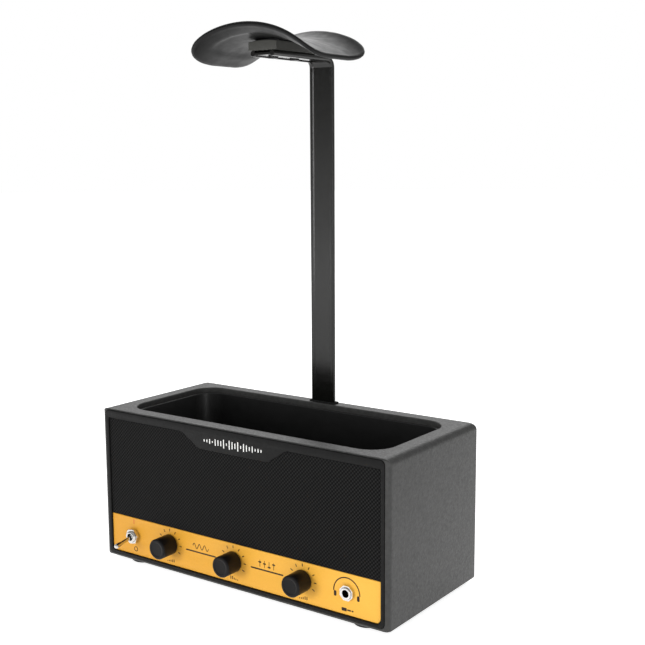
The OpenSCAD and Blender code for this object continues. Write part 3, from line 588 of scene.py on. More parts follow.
FINISHES = {
    "cabinet": leather_grain("cabinet_grain", (0.034, 0.034, 0.033), 0.46, 0.07 * MM, 0.4),
    "frame": leather_grain("frame_grain", grey(0.007), 0.46, 0.03 * MM, 0.14),
    "card": moulded("card_black", grey(0.006), 0.8),
    "cloth": grille_weave("grille_weave"),
    "panel": painted_gold("panel_gold"),
    "tub": moulded("tub_black", grey(0.0065), 0.36, 0.012 * MM),
    "screw_steel": turned("zinc_steel", grey(0.50), 0.34),
    "black_screw": turned("blackened_steel", grey(0.045), 0.42),
    "base": moulded("base_black", grey(0.013), 0.6, 0.04 * MM, 1700),
    "foot_rubber": rubber("foot_rubber", grey(0.012)),
    "bar": lacquer("bar_black", (0.004, 0.004, 0.0035), 0.2),
    "grommet": rubber("grommet_rubber", grey(0.009)),
    "block": moulded("block_black", (0.046, 0.046, 0.042), 0.5, specular=0.25),
    "pad": rubber("pad_foam", grey(0.03)),
    "saddle": moulded("saddle_black", grey(0.005), 0.42, 0.015 * MM, specular=0.16),
    "switch_metal": turned("switch_nickel", (0.62, 0.61, 0.59), 0.2),
    # The bushing and the barrel carry painted shade inside their bores.
    "bushing": turned("bushing_nickel", (0.62, 0.61, 0.59), 0.2, (TOGGLE_AT, 1.95 * MM)),
    "barrel": turned("barrel_nickel", grey(0.72), 0.18, (JACK_AT, 1.95 * MM)),
    "switch_case": moulded("switch_blue", (0.03, 0.07, 0.13), 0.45),
    "contact_brass": turned("contact_brass", (0.62, 0.48, 0.24), 0.32),
    "jack_metal": turned("jack_nickel", grey(0.72), 0.18),
    "jack_case": moulded("jack_black", grey(0.012), 0.5),
    "pot_case": moulded("pot_green", (0.03, 0.13, 0.06), 0.45),
    "pot_metal": turned("pot_brass", (0.58, 0.50, 0.30), 0.36),
    "pot_track": moulded("track_carbon", (0.05, 0.035, 0.025), 0.5),
    "circuit_board": circuit_board("board_green"),
    "chip": moulded("chip_black", grey(0.012), 0.5, 0.03 * MM, 1900),
    "capacitor": wire_jacket("capacitor_sleeve", (0.02, 0.04, 0.10)),
    "connector": moulded("connector_ivory", (0.70, 0.66, 0.56), 0.45),
    "rear": lacquer("rear_black", grey(0.012), 0.5),
    "inlet_shell": turned("inlet_steel", grey(0.6), 0.3),
    "ribbon": ribbon_jacket("ribbon_grey"),
    "wire_red": wire_jacket("wire_red", (0.40, 0.05, 0.04)),
    "wire_blue": wire_jacket("wire_blue", (0.05, 0.14, 0.40)),
    "knob": moulded("knob_black", (0.006, 0.0055, 0.006), 0.38, 0.012 * MM, specular=0.16),
    "shaft_steel": turned("shaft_steel", grey(0.62), 0.25),
    "ink": printed("ink_brown", (0.022, 0.009, 0.003)),
    "ink_red": printed("ink_red", (0.55, 0.06, 0.03)),
    "ink_white": printed("ink_white", (0.80, 0.80, 0.78)),
}


# ---- cabinet

EDGE_R = 4 * MM
FRONT_EDGE_R = 0.9 * MM
UPRIGHT_R = 3 * MM
BOTTOM_EDGE_R = 0.8 * MM
LIP_R = 0.8 * MM
SEAM_CHAMFER = 0.4 * MM
CORNER_STEPS = 10
# How much tighter the upright corners get towards the deck
CORNER_TIGHTER = 1.4 * MM


def cabinet_ring(turn, corner_r):
    """Ring round the cabinet where its top edge has turned by an angle towards level."""
    inset = EDGE_R * (1 - math.cos(turn))
    front_inset = FRONT_EDGE_R * (1 - math.cos(turn))
    low = (-HALF_W + inset, FRONT_Y + front_inset)
    high = (HALF_W - inset, BACK_Y - inset)
    ring = []
    for x, y in round_rect(low, high, corner_r, CORNER_STEPS):
        # 0 along the front face, 1 from the end of the front corners backwards
        back = min(1, max(0, (y - low[1]) / corner_r))
        back = back * back * (3 - 2 * back)
        radius = FRONT_EDGE_R + (EDGE_R - FRONT_EDGE_R) * back
        ring.append(Vector((x, y, DECK_Z - radius * (1 - math.sin(turn)))))
    return ring


def level_ring(low, high, radius, z):
    return [Vector((x, y, z)) for x, y in round_rect(low, high, radius, CORNER_STEPS)]


def tray_ring(out, z):
    """Level ring round the tray opening, moved out by a distance."""
    low = (-TRAY_HALF_W - out, TRAY_Y[0] - out)
    high = (TRAY_HALF_W + out, TRAY_Y[1] + out)
    return level_ring(low, high, TRAY_R + out, z)


def cabinet():
    """Shell of one skin: up the outside, over the rim, down the tray's edge and back inside."""
    bm = bmesh.new()
    base_z = CABINET_LOW.z
    inner_r = 0.8 * MM
    inner = (-HALF_W + WALL, FRAME_BACK_Y - 1 * MM), (HALF_W - WALL, BACK_Y - WALL)
    rings = [level_ring(*inner, inner_r, base_z)]
    for inset, rise in edge_steps(BOTTOM_EDGE_R, 3):
        low, high = (-HALF_W + inset, FRONT_Y + inset), (HALF_W - inset, BACK_Y - inset)
        rings.append(level_ring(low, high, UPRIGHT_R - inset, base_z + rise))
    steps = 8
    for k, turn in enumerate(quarter_turn(steps)):
        rings.append(cabinet_ring(turn, UPRIGHT_R - CORNER_TIGHTER * k / steps))
    for out, drop in edge_steps(LIP_R, 4):
        rings.append(tray_ring(out, DECK_Z - drop))
    rings.append(tray_ring(0, DECK_Z - DECK_T))
    rings.append(level_ring(*inner, inner_r, DECK_Z - DECK_T))
    rings.append(rings[0])
    add_rings(bm, rings, False, False)
    piece = finish_piece("cabinet", bm, "cabinet", ("cabinet_shell",))
    carve(piece, [front_cutter(), *rear_wall_cutters(), recess_cutter(), post_cutter()])


def front_cutter():
    """The front opening, with a chamfer that makes the seam round the frame show."""
    bm = bmesh.new()
    base = round_rect(*front_corners(FRAME_LOW, FRAME_HIGH, 0.1 * MM), FRAME_R)
    levels = ((FRONT_Y - 1 * MM, -1 * MM - SEAM_CHAMFER), (FRONT_Y, -SEAM_CHAMFER))
    levels += ((FRONT_Y + SEAM_CHAMFER, 0), (FRAME_BACK_Y, 0))
    add_rings(bm, [[face_xz(u, v, y) for u, v in inset_loop(base, inset)] for y, inset in levels])
    return bm


def inlet_hole():
    """Outline of the power inlet's hole."""
    at = (INLET_LOW + INLET_HIGH) / 2
    half_w, half_h = 4.7 * MM, 1.85 * MM
    return round_rect((at.x - half_w, at.z - half_h), (at.x + half_w, at.z + half_h), 1.8 * MM)


def rear_wall_cutters():
    """Holes for the line input and the power inlet."""
    line_x = (LINE_LOW.x + LINE_HIGH.x) / 2
    line_hole = circle(line_x, LINE_HIGH.z - LINE_AXIS_DROP, THREAD_R + 0.1 * MM)
    y0, y1 = BACK_Y - WALL - 1 * MM, BACK_Y + 1 * MM
    return [prism(outline, y0, y1) for outline in (line_hole, inlet_hole())]


def recess_cutter():
    outline = round_rect(*front_corners(REAR_LOW, REAR_HIGH, 0.15 * MM), 2.15 * MM)
    return prism(outline, REAR_LOW.y, BACK_Y + 1 * MM)


def post_cutter():
    low = (BAR_LOW.x - 0.7 * MM, BAR_POST_Y[0] - 0.3 * MM)
    high = (BAR_HIGH.x + 0.7 * MM, BAR_POST_Y[1] + 0.7 * MM)
    return prism(round_rect(low, high, 0.3 * MM), DECK_Z - DECK_T - 1 * MM, DECK_Z + 1 * MM, lie_flat)


def pocket_outline():
    """The frame's pocket: round lower corners, and the badge hanging from the top border."""
    low_z, top_z = POCKET_LOW_Z, POCKET_TOP_Z
    half = POCKET_HALF_W
    badge_z = top_z - BADGE_H
    lower = arc(-half + POCKET_R, low_z + POCKET_R, POCKET_R, 180, 270, 8)
    lower += arc(half - POCKET_R, low_z + POCKET_R, POCKET_R, 270, 360, 8)
    top = arc(half - 0.6 * MM, top_z - 0.6 * MM, 0.6 * MM, 0, 90, 3)
    corners = [
        (BADGE_HALF_TOP + 6 * MM, top_z), (BADGE_HALF_TOP, top_z), (BADGE_HALF_LOW, badge_z),
        (-BADGE_HALF_LOW, badge_z), (-BADGE_HALF_TOP, top_z), (-BADGE_HALF_TOP - 6 * MM, top_z),
    ]
    top += rounded_profile(corners, 1.6 * MM, 4)
    top += arc(-half + 0.6 * MM, top_z - 0.6 * MM, 0.6 * MM, 90, 180, 3)
    return lower + top


def front_frame():
    """Border with the badge, over a closed back."""
    bm = bmesh.new()
    outer = round_rect(*front_corners(FRAME_LOW, FRAME_HIGH), FRAME_R)
    add_plate(bm, outer, [pocket_outline()], FRONT_Y, POCKET_Y, 0.35 * MM)
    add_plate(bm, outer, [], POCKET_Y, FRAME_BACK_Y, 0.1 * MM, steps=1)
    finish_piece("front_frame_and_badge", bm, "frame", ("front_frame",))


def badge_marks():
    """A row of plain level bars in place of the badge's lettering."""
    bm = bmesh.new()
    bars = 21
    pitch = 1.9 * MM
    half_bar = 0.3 * MM
    middle_z = POCKET_TOP_Z - 2.6 * MM
    for i in range(bars):
        place = i - (bars - 1) / 2
        x = place * pitch
        swell = math.cos(math.pi * place / (bars + 1))
        half = (0.5 + 2.1 * swell * abs(math.sin(1.9 * i + 0.6))) * MM
        bar = round_rect((x - half_bar, middle_z - half), (x + half_bar, middle_z + half), 0.29 * MM, 4)
        add_plate(bm, bar, [], FRONT_Y - 0.06 * MM, FRONT_Y + 0.05 * MM, 0.03 * MM, steps=1)
    finish_piece("badge_level_bars", bm, "ink_white", slot="frame")


def grille():
    """Stretched cloth over its card; the weave is real relief."""
    bm = bmesh.new()
    step = WEAVE_PITCH / 6
    columns = int((CLOTH_HIGH.x - CLOTH_LOW.x) / step)
    rows = int((CLOTH_HIGH.z - CLOTH_LOW.z) / step)
    relief = min(0.45 * MM, 0.6 * (CLOTH_HIGH.y - CLOTH_LOW.y))
    grid = []
    for i in range(columns + 1):
        x = -step * columns / 2 + i * step
        grid.append([])
        for j in range(rows + 1):
            z = CLOTH_LOW.z + j * step
            y = CLOTH_LOW.y + relief * (1 - weave_height(x, z))
            if under_badge(x, z):
                grid[-1].append(None)
            else:
                grid[-1].append(bm.verts.new((x, y, z)))
    for i in range(columns):
        for j in range(rows):
            corners = (grid[i][j], grid[i + 1][j], grid[i + 1][j + 1], grid[i][j + 1])
            if None not in corners:
                bm.faces.new(corners)
    cloth = finish_piece("grille_cloth_weave", bm, "cloth", ("grille_cloth",), sharp=180)


def under_badge(x, z):
    """True where the badge covers the grille."""
    badge_z = POCKET_TOP_Z - BADGE_H
    if z < badge_z:
        return False
    half = BADGE_HALF_LOW + (BADGE_HALF_TOP - BADGE_HALF_LOW) * (z - badge_z) / BADGE_H
    return abs(x) < half - 0.9 * MM


# ---- control panel

PANEL_Y = PANEL_LOW.y
INK_T = 0.05 * MM
POT_HOLE_R = 3.7 * MM


def panel():
    bm = bmesh.new()
    holes = [circle(at.x, at.z, POT_HOLE_R) for at in KNOB_AT.values()]
    holes += [circle(at.x, at.z, THREAD_R + 0.1 * MM) for at in (TOGGLE_AT, JACK_AT)]
    radii = (POCKET_R, POCKET_R, 0.4 * MM, 0.4 * MM)
    outer = round_rect(*front_corners(PANEL_LOW, PANEL_HIGH), radii)
    add_plate(bm, outer, holes, PANEL_Y, PANEL_HIGH.y, 0.3 * MM)
    finish_piece("gold_panel", bm, "panel", ("control_panel",))


def stroke(a, b, width):
    """Outline of a straight stroke with round ends."""
    a, b = Vector(a), Vector(b)
    turn = math.degrees(math.atan2(b.y - a.y, b.x - a.x))
    radius = width / 2
    return arc(b.x, b.y, radius, turn - 90, turn + 90, 4) + arc(a.x, a.y, radius, turn + 90, turn + 270, 4)


def band(points, width):
    """Outline of a bent stroke of even width along a line of points."""
    left, right = [], []
    for i, p in enumerate(points):
        before, after = Vector(points[max(0, i - 1)]), Vector(points[min(len(points) - 1, i + 1)])
        way = (after - before).normalized()
        side = Vector((-way.y, way.x)) * width / 2
        left.append(tuple(Vector(p) + side))
        right.append(tuple(Vector(p) - side))
    return right + left[::-1]


def around(at, radius, clock):
    """Point at a clock angle, in degrees from straight up, clockwise."""
    a = math.radians(clock)
    return (at.x + radius * math.sin(a), at.z + radius * math.cos(a))


def knob_scale(at):
    """Ticks round the upper part of a knob."""
    centre = at + Vector((-0.4 * MM, 0, 0))
    marks = []
    for clock in range(-120, 121, 30):
        near, far = around(centre, 7.2 * MM, clock), around(centre, 8.4 * MM, clock)
        marks.append(stroke(near, far, 0.5 * MM))
    return marks


def label_marks(at, heights):
    """Small bars below a control."""
    marks = []
    base_z = PANEL_LOW.z + 1.7 * MM
    for i, height in enumerate(heights):
        x = at.x + (i - (len(heights) - 1) / 2) * 1.15 * MM
        low, high = (x - 0.28 * MM, base_z), (x + 0.28 * MM, base_z + height * MM)
        marks.append(round_rect(low, high, 0.2 * MM, 2))
    return marks


def wave_mark(x0, x1, z, cycles, height):
    steps = 12 * cycles
    points = [
        (x0 + (x1 - x0) * i / steps, z + height * math.sin(2 * math.pi * cycles * i / steps))
        for i in range(steps + 1)
    ]
    return band(points, 0.42 * MM)


def slider_marks(x0, x1, z):
    """Four short slider tracks with their handles at different heights."""
    marks = []
    count = 4
    for i in range(count):
        x = x0 + (x1 - x0) * (i + 0.5) / count
        marks.append(round_rect((x - 0.16 * MM, z - 1.9 * MM), (x + 0.16 * MM, z + 1.9 * MM), 0.12 * MM, 2))
        handle = z + 1.1 * MM * math.sin(2.2 * i + 0.7)
        low, high = (x - 0.95 * MM, handle - 0.36 * MM), (x + 0.95 * MM, handle + 0.36 * MM)
        marks.append(round_rect(low, high, 0.2 * MM, 2))
    return marks


def headphone_mark(at):
    """An arc over the socket with a small pad at each end."""
    centre = at + Vector((-0.6 * MM, 0, -0.3 * MM))
    marks = [band([around(centre, 7.65 * MM, clock) for clock in range(-92, 93, 8)], 0.6 * MM)]
    for side in (-1, 1):
        x = centre.x + side * 6.8 * MM
        low = (x - 0.75 * MM, centre.z - 3 * MM)
        high = (x + 0.75 * MM, centre.z - 0.2 * MM)
        marks.append(round_rect(low, high, 0.6 * MM, 3))
    return marks


def plug_mark(at):
    """A small plug seen from the side, below the socket: handle, collar and tip."""
    z = PANEL_LOW.z + 2.6 * MM
    # From, to, half height and corner radius of each part, in millimetres
    parts = ((-3.6, -0.6, 0.85, 0.3), (-0.3, 1.9, 0.4, 0.15), (2.2, 3.4, 0.4, 0.35))
    return [
        round_rect((at.x + x0 * MM, z - half * MM), (at.x + x1 * MM, z + half * MM), radius * MM, 2)
        for x0, x1, half, radius in parts
    ]


def add_ink(bm, outline, holes=()):
    add_plate(bm, outline, list(holes), PANEL_Y - INK_T, PANEL_Y + 0.02 * MM, 0.02 * MM, steps=1)


# Heights in millimetres of the bars below each knob
LABEL_BARS = {
    "volume": (0.6, 0.9, 1.2, 1.5, 1.8),
    "bass": (1.8, 1.8, 1.2, 0.8, 0.6),
    "treble": (0.6, 0.8, 1.2, 1.8, 1.8),
}


def rules():
    """A rule between each pair of knobs, with a wave or a row of sliders over it."""
    marks = []
    rule_z = KNOB_AT["volume"].z - 0.5 * MM
    for left, right in (("volume", "bass"), ("bass", "treble")):
        x0, x1 = KNOB_AT[left].x + 11.7 * MM, KNOB_AT[right].x - 12.8 * MM
        marks.append(stroke((x0, rule_z), (x1, rule_z), 0.8 * MM))
        middle = (x0 + x1) / 2
        z = rule_z + 3.2 * MM
        if left == "volume":
            marks.append(wave_mark(middle - 5.5 * MM, middle + 5.5 * MM, z, 3, 1.4 * MM))
        else:
            marks += slider_marks(middle - 6 * MM, middle + 6 * MM, z)
    return marks


def panel_print():
    bm = bmesh.new()
    marks = []
    for name in KNOB_NAMES:
        marks += knob_scale(KNOB_AT[name])
    for name, heights in LABEL_BARS.items():
        marks += label_marks(KNOB_AT[name], heights)
    for outline in marks + rules() + headphone_mark(JACK_AT) + plug_mark(JACK_AT):
        add_ink(bm, outline)
    off_x, off_z = TOGGLE_AT.x + 1 * MM, TOGGLE_AT.z - 7.6 * MM
    add_ink(bm, circle(off_x, off_z, 1.45 * MM, 32), [circle(off_x, off_z, 1.0 * MM, 32)])
    finish_piece("panel_print", bm, "ink", slot="panel")
    bm = bmesh.new()
    on_z = TOGGLE_AT.z + 8.2 * MM
    add_ink(bm, stroke((TOGGLE_AT.x, on_z - 1.3 * MM), (TOGGLE_AT.x, on_z + 1.3 * MM), 0.5 * MM))
    finish_piece("panel_print_red", bm, "ink_red", slot="panel")


# ---- controls

def knobs():
    for name in KNOB_NAMES:
        low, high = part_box(name + "_knob")
        at = KNOB_AT[name]
        radius = (high.x - low.x) / 2
        length = high.y - low.y
        bm = bmesh.new()
        corners = [
            (0, 0.25 * MM), (radius - 1.9 * MM, 0.2 * MM), (radius - 1.5 * MM, 0.0),
            (radius - 0.55 * MM, 0.0), (radius, 0.55 * MM), (radius, length),
            (radius - 1.4 * MM, length), (radius - 1.4 * MM, length - 1.2 * MM), (0, length - 1.2 * MM),
        ]
        add_lathe(bm, (at.x, low.y, at.z), rounded_profile(corners, 0.22 * MM), 96)
        finish_piece(
            name + "_knob_turned", bm, "knob", (name + "_knob",), body=name + "_knob_body", sharp=40
        )


TOGGLE_TILT = 10
NUT_TURN = 10
MOUTH_R = 1.85 * MM
THROAT_R = 2.45 * MM


def toggle_bushing():
    """Threaded tube whose mouth shows in front of the nut, with a wider throat for the ball."""
    at = TOGGLE_AT
    mouth = BUSHING_LOW.y
    back = FRAME_BACK_Y - mouth
    throat = at.y - mouth - 0.5 * MM
    pitch = 0.5 * MM
    profile = [
        (THROAT_R, 4 * MM), (THROAT_R, throat), (MOUTH_R, throat), (MOUTH_R, 0.3 * MM),
        (MOUTH_R + 0.2 * MM, 0), (2.7 * MM, 0),
    ]
    for k in range(int((FRAME_BACK_Y - 0.6 * MM - mouth) / pitch)):
        profile += [(THREAD_R, (k + 0.55) * pitch), (THREAD_R - 0.22 * MM, (k + 1.05) * pitch)]
    profile += [(THREAD_R, back), (THROAT_R, back), (THROAT_R, 4 * MM)]
    bm = bmesh.new()
    add_lathe(bm, (at.x, mouth, at.z), profile, capped=False)
    flange = round_rect(*front_corners(BUSHING_LOW, BUSHING_HIGH), 0.6 * MM)
    add_plate(bm, flange, [circle(at.x, at.z, 2.9 * MM)], FRAME_BACK_Y, BUSHING_HIGH.y, 0.15 * MM)
    finish_piece("toggle_bushing_thread", bm, "bushing", ("toggle_bushing",), "switch_metal", sharp=50)


def toggle_fasteners():
    """Hexagonal nut with its corners turned off, over a flat washer."""
    at = TOGGLE_AT
    bm = bmesh.new()
    corner_share = math.cos(math.radians(30)) / math.sin(math.radians(60 + NUT_TURN))
    flats = (NUT_HIGH.z - NUT_LOW.z) * corner_share
    add_nut(bm, at, flats, 6, NUT_TURN, NUT_LOW.y, NUT_HIGH.y)
    finish_piece("toggle_hex_nut", bm, "switch_metal", ("toggle_nut",))
    bm = bmesh.new()
    rim = circle(at.x, at.z, (WASHER_HIGH.x - WASHER_LOW.x) / 2, 64)
    hole = circle(at.x, at.z, THREAD_R + 0.05 * MM)
    add_plate(bm, rim, [hole], WASHER_LOW.y, WASHER_HIGH.y, 0.1 * MM)
    finish_piece("toggle_flat_washer", bm, "switch_metal", ("toggle_washer",))


def ball_profile(radius, along, angles):
    """Profile points of a ball whose middle lies at a place along the axis."""
    return [
        (radius * math.sin(math.radians(a)), along - radius * math.cos(math.radians(a)))
        for a in angles
    ]


def toggle_lever():
    """Ball with its cross pin, slim neck and a bat-shaped end, tipped down at rest."""
    at = TOGGLE_AT
    bm = bmesh.new()
    bat = in_mm([
        (0, -13.4), (0.7, -13.35), (1.05, -13.1), (1.28, -12.5),
        (1.28, -11.6), (1.15, -9.5), (1.02, -8), (0.98, -3),
    ])
    ball = ball_profile(1.8 * MM, 0, range(33, 151, 9))
    tail = in_mm([(0.7, 1.8), (0.7, 6.9)]) + ball_profile(1.1 * MM, 7.8 * MM, range(40, 181, 14))
    add_lathe(bm, (0, 0, 0), smooth_profile(bat) + ball + tail, 48)
    pin = in_mm([(0, -2.3), (0.45, -2.3), (0.45, 2.3), (0, 2.3)])
    add_lathe(bm, (0, 0, 0), pin, 24, "X")
    tilt = math.radians(TOGGLE_TILT)
    for v in bm.verts:
        y, z = v.co.y, v.co.z
        v.co.y = at.y + y * math.cos(tilt) - z * math.sin(tilt)
        v.co.z = at.z + y * math.sin(tilt) + z * math.cos(tilt)
        v.co.x += at.x
    finish_piece(
        "toggle_bat_lever", bm, "switch_metal", ("toggle_lever",), body="toggle_lever_body", sharp=50
    )


def smooth_profile(points, steps=4):
    """Catmull-Rom curve through the points of a profile, with its two ends kept."""
    points = [Vector((radius, along, 0)) for radius, along in points]
    last = len(points) - 1
    route = []
    for i in range(last):
        a, b, c, d = (points[max(0, min(last, i + k))] for k in (-1, 0, 1, 2))
        for k in range(steps):
            t = k / steps
            point = 2 * b + (c - a) * t + (2 * a - 5 * b + 4 * c - d) * t * t
            route.append(0.5 * (point + (3 * b - a - 3 * c + d) * t**3))
    return [(max(0, p.x), p.y) for p in route + [points[-1]]]


def add_nut(bm, at, flats, sides, turn, y0, y1):
    """Nut with a turned chamfer: each face ring is the smaller of the polygon and a circle."""
    steps = 96
    half = flats / 2
    corner = half / math.cos(math.pi / sides)

    def ring(y, reach):
        return [
            Vector((at.x + reach(a) * math.cos(a), y, at.z + reach(a) * math.sin(a)))
            for a in full_turn(steps)
        ]

    def side_ring(y, limit):
        def reach(a):
            wedge = (a - math.radians(turn)) % (2 * math.pi / sides) - math.pi / sides
            return min(half / math.cos(wedge), limit)

        return ring(y, reach)

    chamfer = 0.2 * MM
    rings = [side_ring(y0, half + 0.28 * MM), side_ring(y0 + chamfer, corner)]
    rings += [side_ring(y1 - chamfer, corner), side_ring(y1, half + 0.25 * MM)]
    bore = THREAD_R + 0.02 * MM
    flare = 0.25 * MM
    for y, radius in ((y1, bore + flare), (y1 - flare, bore), (y0 + flare, bore), (y0, bore + flare)):
        rings.append(ring(y, lambda a, radius=radius: radius))
    add_rings(bm, rings + rings[:1], False, False)


def jack():
    at = JACK_AT
    mouth = BARREL_LOW.y
    bore = 1.8 * MM
    length = BARREL_HIGH.y - mouth
    bm = bmesh.new()
    rear_r = 2.6 * MM
    flange = FRAME_BACK_Y - mouth
    profile = [
        (bore, length), (bore, 0.35 * MM), (bore + 0.2 * MM, 0.05 * MM), (bore + 0.45 * MM, 0),
        (THREAD_R - 0.35 * MM, 0), (THREAD_R - 0.08 * MM, 0.12 * MM), (THREAD_R, 0.4 * MM),
        (THREAD_R, flange), (4 * MM, flange), (4 * MM, flange + 0.8 * MM),
        (rear_r, flange + 0.8 * MM), (rear_r, length), (bore, length),
    ]
    add_lathe(bm, (at.x, mouth, at.z), profile, 72, capped=False)
    finish_piece("jack_socket_barrel", bm, "barrel", ("jack_barrel",), slot="jack_metal", sharp=40)
    bm = bmesh.new()
    add_nut(bm, at, RING_HIGH.z - RING_LOW.z, 8, 22.5, RING_LOW.y, RING_HIGH.y)
    finish_piece("jack_socket_nut", bm, "jack_metal", ("jack_nut",))


# ---- tray and base

def tray_tub():
    """Deep tub with a rounded floor, hung from the deck by its flange."""
    bm = bmesh.new()
    top = TUB_HIGH.z
    floor_z = 38 * MM
    wall = 1.6 * MM
    under_flange = top - 1.6 * MM
    flange_out = 2.8 * MM
    fillet = 7 * MM
    floor_in = 10 * MM

    def fillet_ring(out, z, turn):
        return tray_ring(out - fillet * (1 - math.cos(turn)), z + fillet * (1 - math.sin(turn)))

    rings = [tray_ring(0.4 * MM, under_flange), tray_ring(flange_out, under_flange)]
    rings.append(tray_ring(flange_out, top))
    for inset, depth in edge_steps(0.5 * MM, 3):
        rings.append(tray_ring(-TUB_LIP + inset, top - depth))
    rings += [fillet_ring(-TUB_LIP, floor_z, turn) for turn in quarter_turn(8)]
    rings.append(tray_ring(-TUB_LIP - floor_in, floor_z))
    outer = [tray_ring(-TUB_LIP - floor_in, TUB_LOW.z)]
    outer += [fillet_ring(wall - TUB_LIP, TUB_LOW.z, turn) for turn in reversed(quarter_turn(8))]
    outer.append(rings[0])
    add_rings(bm, rings, False, True)
    add_rings(bm, outer, True, False)
    finish_piece("tray_tub_moulded", bm, "tub", ("tray_tub",))


def add_peg(bm, at, radius, height):
    add_lathe(bm, at, [(0, 0), (radius, 0), (radius, height), (0, height)], 32, "Z")


def base_plate():
    """Plate with a row of slots, pegs for the circuit board and sunk screws at its corners."""
    bm = bmesh.new()
    screw_x, screw_y = 87.5 * MM, (-32 * MM, 35 * MM)
    slots = []
    for i in range(-4, 5):
        x = i * 7 * MM
        slots.append(round_rect((x - 1.1 * MM, -7 * MM), (x + 1.1 * MM, 19 * MM), 1.05 * MM, 6))
    screws = [circle(s * screw_x, y, 3.1 * MM, 32) for s in (-1, 1) for y in screw_y]
    low, high = (PLATE_LOW.x, PLATE_LOW.y), (PLATE_HIGH.x, PLATE_HIGH.y)
    top = PLATE_LOW.z + 3 * MM
    add_plate(bm, round_rect(low, high, 1 * MM), slots + screws, PLATE_LOW.z, top, 0.25 * MM, lie_flat)
    for s in (-1, 1):
        for y in (-16 * MM, 22 * MM):
            add_peg(bm, (s * 64 * MM, y, top - 0.1 * MM), 3 * MM, 6 * MM)
        for y in screw_y:
            add_peg(bm, (s * screw_x, y, PLATE_LOW.z + 1.9 * MM), 3.3 * MM, 1 * MM)
    finish_piece("base_plate_slotted", bm, "base", ("base_plate",))


def rubber_feet():
    bm = bmesh.new()
    radius = 8 * MM
    height = PLATE_LOW.z
    corners = [
        (0, 0.5 * MM), (4.4 * MM, 0.5 * MM), (5 * MM, 0), (radius - 0.8 * MM, 0),
        (radius, 0.9 * MM), (radius, height - 0.3 * MM), (radius - 0.3 * MM, height), (0, height),
    ]
    for sx in (-1, 1):
        for sy in (-1, 1):
            at = (sx * (FEET_HIGH.x - radius), sy * (FEET_HIGH.y - radius), 0)
            add_lathe(bm, at, rounded_profile(corners, 0.3 * MM), 64, "Z")
    finish_piece("rubber_feet_round", bm, "foot_rubber", ("rubber_feet",))


# ---- post and saddle

BAR_T = 3 * MM
BAR_POST_Y = (BAR_HIGH.y - BAR_T, BAR_HIGH.y)
BAR_ARM_Z = BAR_HIGH.z - BAR_T
BAR_BEND_R = 3 * MM
BAR_RAIL = 2.8 * MM
BAR_EDGE_R = 1.2 * MM
BAR_RECESS = 0.6 * MM
BAR_WEB = 1.4 * MM


def bar_section():
    """Cross-section of the channel: u is X and v runs from the front face back."""
    half, r = BAR_HIGH.x, BAR_EDGE_R
    inner = half - BAR_RAIL
    hollow = 0.5 * MM
    points = arc(half - r, r, r, 270, 360, 5) + arc(half - r, BAR_T - r, r, 0, 90, 5)
    points += arc(inner + r * 0.6, BAR_T - r * 0.6, r * 0.6, 90, 180, 4)
    points += arc(inner - hollow, BAR_RECESS + BAR_WEB + hollow, hollow, 0, -90, 3)
    points += [(-u, v) for u, v in reversed(points[12:])]
    points += [(-u, v) for u, v in reversed(points[:12])]
    points += [(-half + BAR_RAIL - 0.5 * MM, 0.0), (-half + BAR_RAIL, BAR_RECESS)]
    points += [(half - BAR_RAIL, BAR_RECESS), (half - BAR_RAIL + 0.5 * MM, 0.0)]
    return points


def bar():
    """The channel bar: up from the base, round the bend and forward as the arm."""
    bm = bmesh.new()
    section = bar_section()
    front_y, arm_z = BAR_POST_Y[0], BAR_ARM_Z
    bend_y, bend_z = front_y - BAR_BEND_R, arm_z - BAR_BEND_R
    rings = []

    def post_ring(z, shrink=0.0):
        return [Vector((u, front_y + v, z)) for u, v in inset_loop(section, shrink)]

    end = 0.25 * MM
    rings += [post_ring(BAR_LOW.z, end), post_ring(BAR_LOW.z + end), post_ring(bend_z)]
    steps = 12
    for k in range(1, steps):
        a = math.pi / 2 * k / steps
        rings.append([
            Vector((u, bend_y + (BAR_BEND_R + v) * math.cos(a), bend_z + (BAR_BEND_R + v) * math.sin(a)))
            for u, v in section
        ])
    for y, shrink in ((bend_y, 0.0), (BAR_LOW.y + end, 0.0), (BAR_LOW.y, end)):
        rings.append([Vector((u, y, arm_z + v)) for u, v in inset_loop(section, shrink)])
    add_rings(bm, rings)
    finish_piece("bar_channel", bm, "bar", ("stand_bar",), sharp=40)


def grommet():
    bm = bmesh.new()
    low, high = (GROMMET_LOW.x, GROMMET_LOW.y), (GROMMET_HIGH.x, GROMMET_HIGH.y)
    gap = 0.02 * MM
    hole = round_rect(
        (BAR_LOW.x - gap, BAR_POST_Y[0] - gap), (BAR_HIGH.x + gap, BAR_POST_Y[1] + gap), BAR_EDGE_R, 5
    )
    add_plate(bm, round_rect(low, high, 1 * MM), [hole], DECK_Z, GROMMET_HIGH.z, 0.3 * MM, lie_flat)
    inner_low = (BAR_LOW.x - 0.6 * MM, BAR_POST_Y[0] - 0.25 * MM)
    inner_high = (BAR_HIGH.x + 0.6 * MM, BAR_POST_Y[1] + 0.6 * MM)
    inner = round_rect(inner_low, inner_high, 0.3 * MM)
    add_plate(bm, inner, [hole], DECK_Z - DECK_T, DECK_Z, 0.05 * MM, lie_flat, 1)
    finish_piece("grommet_collar", bm, "grommet", ("post_grommet",))


